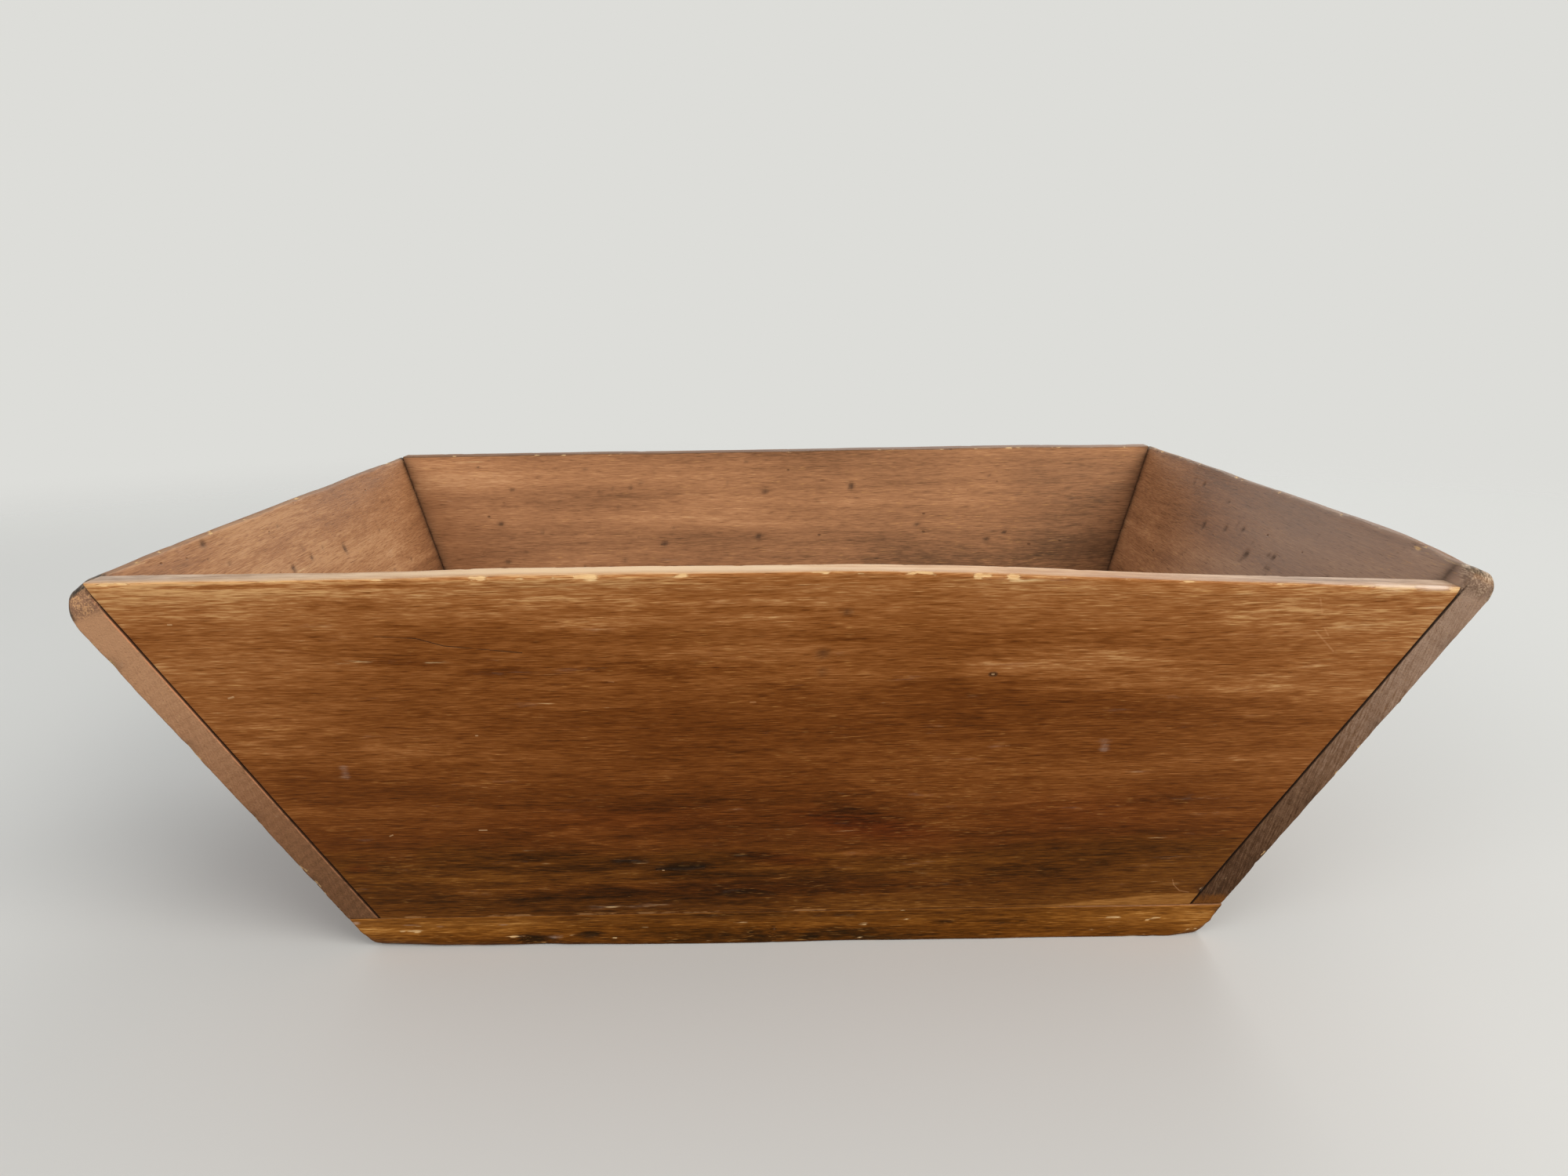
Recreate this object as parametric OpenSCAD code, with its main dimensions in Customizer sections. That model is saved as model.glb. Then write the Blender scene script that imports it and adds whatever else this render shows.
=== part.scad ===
// Antique dough box: an open trough of four splayed boards on a flat base.
// Millimetres, +Z up, +X along the length, -Y towards the front.
// The origin is the middle of the underside, where the box rests on a table.

/* [Overall] */
// Length of the base across its upright lower edge
base_length = 618; // [420:1:800]
// Depth of the base across its upright lower edge
base_depth = 412; // [260:1:560]
// Height from the table to the top inner edges of the walls
box_height = 302; // [220:1:400]
// Outward lean of the two end boards from upright, in degrees
end_splay = 22.8; // [5:0.1:32]
// Outward lean of the front and back boards from upright, in degrees
side_splay = 21.6; // [5:0.1:32]

/* [Boards] */
// Thickness of the two end boards
end_thickness = 21; // [14:0.5:28]
// Thickness of the front and back boards
side_thickness = 21; // [14:0.5:28]
// Thickness of the base boards
base_thickness = 28; // [20:0.5:36]

/* [Rim] */
// Rounding of the outer top edge of the front and back boards
side_outer_round = 3; // [1:0.5:6]
// Rounding of the inner top edge of the front and back boards
side_inner_round = 2; // [1:0.5:5]
// Rounding of the outer top edge of the end boards
end_outer_round = 11.5; // [1:0.5:12]
// Rounding of the inner top edge of the end boards
end_inner_round = 4; // [1:0.5:8]
// Rounding of the top corners of the end boards, seen from the side
end_tip_round = 16; // [2:0.5:24]
// How far the worn top of the front board falls by its right end
front_drop = 17.5; // [2:0.5:30]
// Distance right of the middle where that fall begins
front_drop_start = 45; // [-150:1:200]

/* [Base] */
// Height of the upright lower part of the base edge
base_upright = 15; // [8:0.5:18]
// Rounding of the lowest edge of the base along the front and back
base_edge_round = 8; // [2:0.5:8]
// Rounding of the lowest edge of the base along the ends, where it is more worn
base_end_round = 12; // [2:0.5:14]
// Distance behind the middle of the joint between the two base boards
base_joint_offset = 16; // [12:1:40]
// Thickness of the tongue on the front base board
tongue_thickness = 9; // [5:0.5:12]
// Reach of the tongue into the back base board
tongue_reach = 10; // [5:0.5:16]
// Clearance around the tongue in its groove
tongue_clearance = 0.2; // [0.05:0.05:0.5]

/* [Nails] */
// Length of a corner nail
corner_nail_length = 52; // [40:1:70]
// Length of a base nail
base_nail_length = 50; // [42:1:60]
// Thickness of a nail between its two parallel faces
nail_thickness = 2.8; // [2:0.1:3.5]
// Width of a nail just under the head
nail_width = 3.6; // [3:0.1:4.5]
// Width of a nail at its blunt tip
nail_tip = 1.8; // [1:0.1:2.4]
// Long side of the nail head
head_length = 7; // [5:0.1:8]
// Short side of the nail head
head_width = 4.6; // [4:0.1:6]
// Thickness of the nail head
head_thickness = 1.6; // [1:0.1:3]
// Clearance around each nail in the wood
nail_clearance = 0.05; // [0.02:0.01:0.2]
// Depth of the middle of each base nail head above the underside
base_head_recess = 1.6; // [1.2:0.1:3]
// Number of nails up each corner
corner_nails = 4; // [2:1:6]
// Number of nails along each long side of the base
base_side_nails = 5; // [3:1:8]
// Number of nails across each end of the base
base_end_nails = 3; // [2:1:4]
// Distance of the lowest and highest corner nails from the ends of the joint
corner_nail_margin = 38; // [25:1:60]
// Distance of the outer base nails from the inner corners of the walls
base_nail_margin = 36; // [20:1:60]

/* [Hidden] */
$fn = 96;
spare = 60;
half_length = base_length / 2;
half_depth = base_depth / 2;
wall_height = box_height - base_upright;
fall_angle = atan(front_drop / (inner_x(box_height) - front_drop_start));

// Outer and inner faces of the walls at height z above the table
function outer_x(z) = half_length + (z - base_upright) * tan(end_splay);
function inner_x(z) = outer_x(z) - end_thickness / cos(end_splay);
function outer_y(z) = half_depth + (z - base_upright) * tan(side_splay);
function inner_y(z) = outer_y(z) - side_thickness / cos(side_splay);

// Middle of the thickness of the walls at height z
function middle_x(z) = (outer_x(z) + inner_x(z)) / 2;
function middle_y(z) = (outer_y(z) + inner_y(z)) / 2;

function unit(v) = v / norm(v);

// Waste outside a rounding of radius r in the corner c, whose edges run along a and b
module corner_waste(c, a, b, r) {
    ua = unit(a);
    ub = unit(b);
    half = acos(ua * ub) / 2;
    mid = unit(ua + ub);
    centre = c + mid * r / sin(half);
    difference() {
        polygon([c - mid, c + ua * r / tan(half), centre, c + ub * r / tan(half)]);
        translate(centre) circle(r);
    }
}

// Section of a side board: outer face on x = 0, top cut level with the table
module side_section() {
    low = -spare;
    top_in = (wall_height - side_thickness * sin(side_splay)) / cos(side_splay);
    top_out = wall_height / cos(side_splay);
    level = [side_thickness, top_out - top_in];
    difference() {
        polygon([[0, low], [0, top_out], [-side_thickness, top_in], [-side_thickness, low]]);
        corner_waste([0, top_out], [0, -1], -level, side_outer_round);
        corner_waste([-side_thickness, top_in], [0, -1], level, side_inner_round);
    }
}

// Section of an end board: outer face on x = 0, top cut square to the faces
module end_section() {
    top = end_board_top();
    difference() {
        translate([-end_thickness, -spare]) square([end_thickness, top + spare]);
        corner_waste([0, top], [0, -1], [-1, 0], min(end_outer_round, end_thickness * 0.6));
        corner_waste([-end_thickness, top], [0, -1], [1, 0], min(end_inner_round, end_thickness * 0.35));
    }
}

// Height of an end board's top along its outer face
function end_board_top() = (wall_height - end_thickness * sin(end_splay)) / cos(end_splay);

// Stands a child, drawn with its outer face on x = 0 or y = 0, at the lean of a wall
module lean_back() {
    translate([0, half_depth, base_upright]) rotate([-side_splay, 0, 0]) children();
}
module lean_right() {
    translate([half_length, 0, base_upright]) rotate([0, end_splay, 0]) children();
}

// A long bar of the side section along X, and one of the end section along Y
module side_bar() {
    rotate([90, 0, 90]) linear_extrude(height = 4 * base_length, center = true) side_section();
}
module end_bar() {
    rotate([90, 0, 0]) linear_extrude(height = 4 * base_depth, center = true) end_section();
}

// The side bar tipped in its own plane so that its top falls to the right
module falling_bar() {
    pivot = wall_height / cos(side_splay);
    translate([front_drop_start, 0, pivot])
        rotate([0, fall_angle, 0])
            translate([-front_drop_start, 0, -pivot]) side_bar();
}

// Everything between the inner faces of the two end boards, above the base
module between_ends() {
    top = box_height + spare;
    rotate([90, 0, 0]) linear_extrude(height = 4 * base_depth, center = true)
        polygon([[-inner_x(base_thickness), base_thickness], [inner_x(base_thickness), base_thickness],
                 [inner_x(top), top], [-inner_x(top), top]]);
}

// Everything between the outer faces of the front and back, above the base, with rounded tips
module between_sides() {
    low = base_thickness;
    tip = [outer_y(box_height), box_height];
    down = [-tan(side_splay), -1];
    rotate([90, 0, 90]) linear_extrude(height = 4 * base_length, center = true)
        difference() {
            polygon([[-outer_y(low), low], [outer_y(low), low], tip, [-tip[0], tip[1]]]);
            corner_waste(tip, down, [-1, 0], end_tip_round);
            corner_waste([-tip[0], tip[1]], [-down[0], down[1]], [1, 0], end_tip_round);
        }
}

// Outline of the base seen along Y or X: upright below, leaning with the walls above
module base_outline(half, reach, worn) {
    low = min(worn, base_upright * 0.9);
    difference() {
        polygon([[-half, 0], [half, 0], [half, base_upright], [reach, base_thickness],
                 [-reach, base_thickness], [-half, base_upright]]);
        corner_waste([half, 0], [-1, 0], [0, 1], low);
        corner_waste([-half, 0], [1, 0], [0, 1], low);
    }
}

module base_blank() {
    intersection() {
        rotate([90, 0, 0]) linear_extrude(height = 2 * base_depth, center = true)
            base_outline(half_length, outer_x(base_thickness), base_end_round);
        rotate([90, 0, 90]) linear_extrude(height = 2 * base_length, center = true)
            base_outline(half_depth, outer_y(base_thickness), base_edge_round);
    }
}

// Tongue, or with a clearance its groove, behind the joint in the base
module tongue(gap) {
    high = tongue_thickness + 2 * gap;
    translate([-base_length, base_joint_offset - high, (base_thickness - high) / 2])
        cube([2 * base_length, tongue_reach + gap + high, high]);
}

// One cut nail driven along -Z from its head at the origin, or with a gap its hole,
// whose mouth is open by the given amount above the head
module nail(length, gap = 0, mouth = 0) {
    translate([-head_length / 2 - gap, -head_width / 2 - gap, -head_thickness - gap])
        cube([head_length + 2 * gap, head_width + 2 * gap, head_thickness + gap + mouth]);
    rotate([90, 0, 0]) linear_extrude(height = nail_thickness + 2 * gap, center = true)
        polygon([[-nail_width / 2 - gap, -head_thickness / 2], [nail_width / 2 + gap, -head_thickness / 2],
                 [nail_tip / 2 + gap, -length - gap], [-nail_tip / 2 - gap, -length - gap]]);
}

// Evenly spaced places from a to b
function spread(a, b, n) = [for (i = [0:n - 1]) a + (b - a) * i / (n - 1)];

// Nails of the back right corner, square through the end board into the back board's end
module corner_row(gap = 0) {
    low = base_thickness + corner_nail_margin;
    high = box_height - front_drop - corner_nail_margin;
    depth = (end_thickness + corner_nail_length) / 2;
    for (z = spread(low, high, corner_nails))
        translate([outer_x(z), middle_y(z + depth * sin(end_splay)), z])
            rotate([0, 90 + end_splay, 0]) nail(corner_nail_length, gap, gap > 0 ? head_thickness : 0);
}

// Nails up through the base, leaning with the walls, into the back board and the right end board
module back_row(gap = 0) {
    reach = inner_x(base_thickness) - base_nail_margin;
    for (x = spread(-reach, reach, base_side_nails))
        translate([x, middle_y(base_head_recess), base_head_recess])
            rotate([180 - side_splay, 0, 0]) nail(base_nail_length, gap, gap > 0 ? spare : 0);
}
module right_row(gap = 0) {
    reach = inner_y(base_thickness) - base_nail_margin;
    for (y = spread(-reach, reach, base_end_nails))
        translate([middle_x(base_head_recess), y, base_head_recess])
            rotate([0, 180 + end_splay, 0]) rotate([0, 0, 90])
                nail(base_nail_length, gap, gap > 0 ? spare : 0);
}

// The same things on the other side of the box
module to_front() mirror([0, 1, 0]) children();
module to_left() mirror([1, 0, 0]) children();

// Holes of all corner nails and of all base nails
module corner_holes() {
    corner_row(nail_clearance);
    to_front() corner_row(nail_clearance);
    to_left() corner_row(nail_clearance);
    to_left() to_front() corner_row(nail_clearance);
}
module base_holes() {
    back_row(nail_clearance);
    to_front() back_row(nail_clearance);
    right_row(nail_clearance);
    to_left() right_row(nail_clearance);
}

module front_board() {
    color([0.55, 0.31, 0.14]) difference() {
        intersection() {
            to_front() lean_back() side_bar();
            to_front() lean_back() falling_bar();
            between_ends();
        }
        corner_holes();
        base_holes();
    }
}

module back_board() {
    color([0.50, 0.29, 0.15]) difference() {
        intersection() {
            lean_back() side_bar();
            between_ends();
        }
        corner_holes();
        base_holes();
    }
}

module right_end() {
    difference() {
        intersection() {
            lean_right() end_bar();
            between_sides();
        }
        corner_holes();
        base_holes();
    }
}

module left_end_board() color([0.50, 0.30, 0.18]) to_left() right_end();
module right_end_board() color([0.42, 0.31, 0.24]) right_end();

module base_front_board() {
    color([0.62, 0.40, 0.13]) difference() {
        intersection() {
            base_blank();
            union() {
                translate([-base_length, base_joint_offset - base_depth, -base_thickness])
                    cube([2 * base_length, base_depth, 3 * base_thickness]);
                tongue(0);
            }
        }
        base_holes();
    }
}

module base_back_board() {
    color([0.58, 0.38, 0.15]) difference() {
        intersection() {
            base_blank();
            translate([-base_length, base_joint_offset, -base_thickness])
                cube([2 * base_length, base_depth, 3 * base_thickness]);
        }
        tongue(tongue_clearance);
        base_holes();
    }
}

module front_left_nails() color([0.20, 0.17, 0.15]) to_left() to_front() corner_row();
module front_right_nails() color([0.20, 0.17, 0.15]) to_front() corner_row();
module back_left_nails() color([0.20, 0.17, 0.15]) to_left() corner_row();
module back_right_nails() color([0.20, 0.17, 0.15]) corner_row();
module base_front_nails() color([0.20, 0.17, 0.15]) to_front() back_row();
module base_back_nails() color([0.20, 0.17, 0.15]) back_row();
module base_left_nails() color([0.20, 0.17, 0.15]) to_left() right_row();
module base_right_nails() color([0.20, 0.17, 0.15]) right_row();

front_board();
back_board();
left_end_board();
right_end_board();
base_front_board();
base_back_board();
front_left_nails();
front_right_nails();
back_left_nails();
back_right_nails();
base_front_nails();
base_back_nails();
base_left_nails();
base_right_nails();
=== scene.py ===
"""Looks of an old dough box: six weathered boards, nailed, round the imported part."""
import math

import bpy
import numpy as np
from mathutils import Matrix


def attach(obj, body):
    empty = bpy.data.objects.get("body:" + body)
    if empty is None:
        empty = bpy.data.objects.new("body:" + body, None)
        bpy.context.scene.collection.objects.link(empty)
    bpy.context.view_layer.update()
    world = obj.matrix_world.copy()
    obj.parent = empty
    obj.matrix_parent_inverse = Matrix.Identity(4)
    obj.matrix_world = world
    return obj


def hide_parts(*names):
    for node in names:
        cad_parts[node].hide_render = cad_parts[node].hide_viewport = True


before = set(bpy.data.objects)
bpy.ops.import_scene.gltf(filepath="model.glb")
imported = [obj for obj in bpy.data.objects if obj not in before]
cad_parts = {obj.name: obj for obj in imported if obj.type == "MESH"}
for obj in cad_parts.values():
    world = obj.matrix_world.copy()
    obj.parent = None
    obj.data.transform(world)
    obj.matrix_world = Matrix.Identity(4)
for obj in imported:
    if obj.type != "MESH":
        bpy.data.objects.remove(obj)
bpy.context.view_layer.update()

# ---------------------------------------------------------------- sizes in mm, splays in radians
# the base's half length and half depth at the bottom, and how far the walls lean out
HALF_LENGTH = 309.0
HALF_DEPTH = 206.0
HEIGHT = 302.0
END_SPLAY = math.radians(22.8)
SIDE_SPLAY = math.radians(21.6)
# how thick the walls and the base are, and how high the base's edge stands upright
BOARD = 21.0
BASE = 28.0
UPRIGHT = 15.0
BASE_JOINT = 16.0
# the worn front rim falls by DROP from DROP_START to the board's right end
DROP = 17.5
DROP_START = 45.0
# how open the joint over the base is, and how far the front joints have crept at the rim
SHADOW_GAP = 0.12
SLIP = 2.3
MM = 0.001

SIN_E, COS_E, TAN_E = math.sin(END_SPLAY), math.cos(END_SPLAY), math.tan(END_SPLAY)
SIN_S, COS_S, TAN_S = math.sin(SIDE_SPLAY), math.cos(SIDE_SPLAY), math.tan(SIDE_SPLAY)
END_TOP = (HEIGHT - UPRIGHT - BOARD * SIN_E) / COS_E
DROP_END = HALF_LENGTH + (HEIGHT - UPRIGHT) * TAN_E - BOARD / COS_E


def outer_x(z):
    return HALF_LENGTH + (z - UPRIGHT) * TAN_E


def inner_x(z):
    return outer_x(z) - BOARD / COS_E


def outer_y(z):
    return HALF_DEPTH + (z - UPRIGHT) * TAN_S


# ---------------------------------------------------------------- numbers over points
def smooth(x, low, high):
    """0 below low, 1 above high, and an even curve between."""
    t = np.clip((x - low) / (high - low), 0, 1)
    return t * t * (3 - 2 * t)


def value_noise(p, seed):
    """Soft noise from -1 to 1 at the points, the same on every run."""
    cell = np.floor(p).astype(np.int64)
    part = p - cell
    part = part * part * part * (part * (part * 6 - 15) + 10)
    total = np.zeros(len(p))
    for corner in np.ndindex(2, 2, 2):
        c = cell + np.array(corner)
        h = (c[:, 0] * 73856093) ^ (c[:, 1] * 19349663) ^ (c[:, 2] * 83492791) ^ (seed * 40503)
        h = ((h ^ (h >> 13)) * 1274126177) & 0xFFFFFFFF
        value = ((h ^ (h >> 16)) & 0xFFFF) / 32767.5 - 1
        weight = np.prod(np.where(corner, part, 1 - part), axis=1)
        total += value * weight
    return total


def noise(p, size, seed, octaves=2):
    """Noise over points in mm with features of the given sizes."""
    total, amount, scale = 0, 1.0, 1.0
    for step in range(octaves):
        total = total + amount * value_noise(p * scale / np.array(size, float), seed + step * 17)
        amount, scale = amount * 0.5, scale * 2.03
    return total / (2 - 0.5 ** (octaves - 1))


def planed(p, seed, broad, narrow, amounts=(0.22, 0.10)):
    """How far a face planed by hand is from flat, in mm."""
    return amounts[0] * noise(p, broad, seed + 21) + amounts[1] * noise(p, narrow, seed + 22)


def round_max(a, b, radius):
    """The distance to where both a and b are inside, with the edge between them rounded."""
    return np.minimum(np.maximum(a, b), -radius) + np.hypot(
        np.maximum(a + radius, 0), np.maximum(b + radius, 0))


def settle(points, field, steps=7):
    """Moves the points onto the surface where the field is zero. Returns them and its slope."""
    step = 0.02
    for turn in range(steps + 1):
        slope = np.stack([(field(points + d) - field(points - d)) / (2 * step)
                          for d in np.eye(3) * step], axis=1)
        size = np.maximum((slope ** 2).sum(1), 1e-6)
        if turn == steps:
            return points, slope / np.sqrt(size)[:, None]
        points = points - slope * (field(points) / size)[:, None]


def graded(length, fine, coarse, growth, low=True, high=True, extra=()):
    """Line places from 0 to length: fine near the chosen ends and the extra places."""
    places, x = [0.0], 0.0
    while x < length:
        near = [x] if low else []
        near += [length - x] if high else []
        near += [max(abs(x - e) - 6, 0) for e in extra]
        gap = min(near) if near else length
        x += min(coarse, fine + growth * max(gap, 0))
        places.append(x)
    places = np.array(places)
    return places * (length / places[-1])


def box_lattice(nx, ny, nz):
    """Grid places on the outside of a box of nx by ny by nz points, and its faces."""
    number = -np.ones((nx, ny, nz), int)
    skin = np.zeros((nx, ny, nz), bool)
    skin[[0, -1]] = True
    skin[:, [0, -1]] = True
    skin[:, :, [0, -1]] = True
    number[skin] = np.arange(skin.sum())
    faces = []
    for axis in range(3):
        for side in (0, -1):
            sheet = np.take(number, side, axis=axis)
            quads = np.stack([sheet[:-1, :-1], sheet[1:, :-1], sheet[1:, 1:], sheet[:-1, 1:]], -1)
            quads = quads.reshape(-1, 4)
            turn = (side == 0) == (axis != 1)
            faces.append(quads[:, ::-1] if turn else quads)
    return np.argwhere(skin), np.concatenate(faces)


# ---------------------------------------------------------------- the boards' own places
class Place:
    """A board's own axes: along its grain, out of its outer face, and up its slope."""

    def __init__(self, origin, along, out, up):
        self.origin = np.array(origin, float)
        self.axes = np.array([along, out, up], float)

    def world(self, p):
        return self.origin + p @ self.axes


FRONT = Place((0, -HALF_DEPTH, UPRIGHT), (1, 0, 0), (0, -COS_S, -SIN_S), (0, -SIN_S, COS_S))
BACK = Place((0, HALF_DEPTH, UPRIGHT), (1, 0, 0), (0, COS_S, -SIN_S), (0, SIN_S, COS_S))
RIGHT = Place((HALF_LENGTH, 0, UPRIGHT), (0, 1, 0), (COS_E, 0, -SIN_E), (SIN_E, 0, COS_E))
LEFT = Place((-HALF_LENGTH, 0, UPRIGHT), (0, 1, 0), (-COS_E, 0, -SIN_E), (-SIN_E, 0, COS_E))
GROUND = Place((0, 0, 0), (1, 0, 0), (0, 1, 0), (0, 0, 1))


def side_height(p):
    return UPRIGHT - p[:, 1] * SIN_S + p[:, 2] * COS_S


def end_height(p):
    return UPRIGHT - p[:, 1] * SIN_E + p[:, 2] * COS_E


def slip(z, y):
    """How far the front joints have crept to the right, growing to the rim."""
    return SLIP * np.clip((z - BASE) / (HEIGHT - BASE), 0, 1) * smooth(-y, 190, 285)


def rim_height(along, drop):
    """The top of a long board. The front one falls away to the right."""
    t = (along - DROP_START) / (DROP_END - DROP_START)
    soft = np.where(t > 0.06, t, np.where(t < -0.06, 0, (t + 0.06) ** 2 / 0.24))
    return HEIGHT - drop * soft


def dents_at(p, dents):
    """How deep the listed hollows go at the points. A hollow is a place, three sizes, a depth."""
    depth = np.zeros(len(p))
    for (a, w, u), (ra, rw, ru), deep in dents:
        q = ((p[:, 0] - a) / ra) ** 2 + ((p[:, 1] - w) / rw) ** 2 + ((p[:, 2] - u) / ru) ** 2
        near = q < 9
        depth[near] += deep * np.exp(-q[near])
    return depth


def pits_at(p, dents, amount=1.6):
    """The dark of the small hollows alone."""
    return np.clip(dents_at(p, [d for d in dents if max(d[1][0], d[1][2]) < 4.5]) * amount, 0, 1)


def random_dents(seed, count, along, up, face, sizes, depths):
    """Small hollows scattered over one face of a board."""
    rng = np.random.default_rng(seed)
    made = []
    for _ in range(count):
        r = rng.uniform(*sizes)
        long = r * rng.uniform(1.0, 2.2)
        made.append(((rng.uniform(*along), face, rng.uniform(*up)), (long, 3.0, r),
                     rng.uniform(*depths)))
    return made


def blobs_at(p, blobs, face, reach=6.0):
    """A soft mask of slanted patches on one face: (along, up, half length, half height, tilt, amount)."""
    mask = np.zeros(len(p))
    on_face = np.exp(-((p[:, 1] - face) / reach) ** 2)
    for a, u, ra, ru, tilt, amount in blobs:
        da = p[:, 0] - a
        du = p[:, 2] - u - tilt * da
        mask = np.maximum(mask, amount * np.exp(-(da / ra) ** 2 - (du / ru) ** 2))
    return mask * on_face


def make_mesh(name, local, normals, faces, place, masks, material):
    """One board as a smooth mesh. Its masks and its own coordinates go with the points."""
    mesh = bpy.data.meshes.new(name)
    world = place.world(local) * MM
    if np.linalg.det(place.axes) < 0:
        faces = faces[:, ::-1]
    mesh.vertices.add(len(world))
    mesh.vertices.foreach_set("co", world.astype(np.float32).ravel())
    mesh.loops.add(faces.size)
    mesh.loops.foreach_set("vertex_index", faces.astype(np.int32).ravel())
    mesh.polygons.add(len(faces))
    mesh.polygons.foreach_set("loop_start", np.arange(0, faces.size, 4, dtype=np.int32))
    mesh.polygons.foreach_set("use_smooth", np.ones(len(faces), bool))
    mesh.update(calc_edges=True)
    own = mesh.attributes.new("board", "FLOAT_VECTOR", "POINT")
    own.data.foreach_set("vector", (local * MM).astype(np.float32).ravel())
    for key, values in masks.items():
        layer = mesh.attributes.new(key, "FLOAT", "POINT")
        layer.data.foreach_set("value", values.astype(np.float32))
    piece = bpy.data.objects.new(name, mesh)
    bpy.context.scene.collection.objects.link(piece)
    mesh.materials.append(material)
    return piece


def nail_heads(node, place):
    """The middle of each nail head of a CAD node, in the board's own places."""
    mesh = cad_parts[node].data
    points = np.array([v.co for v in mesh.vertices]) / MM
    parent = list(range(len(points)))

    def root(i):
        while parent[i] != i:
            parent[i] = parent[parent[i]]
            i = parent[i]
        return i

    keys = {}
    for i, p in enumerate(np.round(points, 2)):
        j = keys.setdefault(tuple(p), i)
        parent[root(i)] = root(j)
    for edge in mesh.edges:
        a, b = edge.vertices
        parent[root(a)] = root(b)
    groups = {}
    for i in range(len(points)):
        groups.setdefault(root(i), []).append(i)
    own = (points - place.origin) @ place.axes.T
    heads = []
    for members in groups.values():
        q = own[members]
        top = q[q[:, 1] > q[:, 1].max() - 0.3]
        heads.append((top.min(0) + top.max(0)) / 2)
    return heads


def common_masks(local, normals, sharp, chip, place):
    """Masks that every board has: what faces in, up or along the grain, and what is worn."""
    up_world = normals @ place.axes[:, 2]
    return {
        "inside": smooth(-normals[:, 1], 0.35, 0.8),
        "rim": smooth(up_world, 0.55, 0.85),
        "endgrain": smooth(np.abs(normals[:, 0]), 0.45, 0.8),
        "wear": np.clip(-sharp / 2.5, 0, 1),
        "chip": np.clip(chip, 0, 1),
    }


# ---------------------------------------------------------------- long boards
FRONT_CHIPS = [
    (-392, 5, 1.2), (-383, 4, 1), (-179, 7, 1.5), (-116, 9, 1.3), (-238, 5, 0.8), (78, 13, 1.6),
    (114, 7, 1.4), (132, 5, 1.3), (236, 6, 0.7), (352, 30, 0.9), (-60, 6, 0.6), (20, 8, 0.7),
    (290, 5, 0.8), (395, 5, 0.9), (-300, 10, 0.6)]
BACK_CHIPS = [(-340, 8, 1), (-150, 6, 0.9), (60, 10, 1.2), (210, 7, 0.8), (380, 9, 1.4)]

FRONT_DENTS = [
    ((36, 0, 279), (3, 3, 2), 0.6), ((22, 0, 248), (4, 3, 2.4), 0.7), ((22, 0, 234), (3, 3, 2), 0.5),
    ((-88, 0, 60), (7, 3, 2), 0.8), ((-60, 0, 61), (6, 3, 2.2), 0.7), ((298, 0, 29), (3, 3, 2.4), 0.9),
    ((40, -21, 240), (4, 3, 3), 0.7), ((-250, -21, 200), (5, 3, 3), 0.6)]
BACK_DENTS = [
    ((-298, -21, 224), (3.2, 3, 2.4), 0.8), ((-317, -21, 192), (2.6, 3, 5), 0.8),
    ((-122, -21, 200), (3.4, 3, 2.6), 0.8), ((-13, -21, 256), (4, 3, 2.4), 0.7),
    ((-21, -21, 206), (3.2, 3, 2.6), 0.8), ((80, -21, 260), (3, 3, 4), 0.8),
    ((197, -21, 224), (5, 3, 3), 0.9), ((150, -21, 217), (3, 3, 2.2), 0.6),
    ((224, -21, 199), (3.4, 3, 2.2), 0.8), ((360, -21, 216), (3, 3, 2), 0.6),
    ((188, -21, 250), (2.4, 3, 5), 0.8)]

# soft patches on the front face: along, up, half length, half height, tilt, amount
FRONT_DARK = [
    (178, 52, 60, 12, 0, 0.62), (-262, 291, 46, 8, 0, 0.6), (-205, 243, 80, 9, -0.15, 0.6),
    (-60, 236, 95, 12, -0.14, 0.55), (-285, 134, 18, 5, 0, 0.45), (54, 112, 46, 20, -0.3, 0.6),
    (-172, 76, 40, 4.5, 0.02, 0.65), (-72, 62, 24, 4, 0.05, 1), (-20, 72, 34, 6.5, -0.12, 0.5),
    (60, 52, 40, 3, 0.05, 0.6), (-150, 33, 60, 3.5, 0.02, 0.6), (30, 36, 95, 6, 0.03, 0.55),
    (-110, 70, 18, 5, 0, 0.55), (190, 70, 60, 8, 0.02, 0.35), (-255, 48, 50, 6, 0, 0.35),
    (250, 120, 50, 14, 0.1, 0.3), (110, 215, 60, 10, -0.05, 0.25), (-300, 225, 30, 7, -0.1, 0.25),
    (10, 190, 90, 12, -0.03, 0.28), (-320, 304, 40, 1.6, 0, 0.9), (-235, 303, 60, 1.4, 0, 0.8),
    (180, 160, 70, 9, 0.05, 0.22)]
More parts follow.
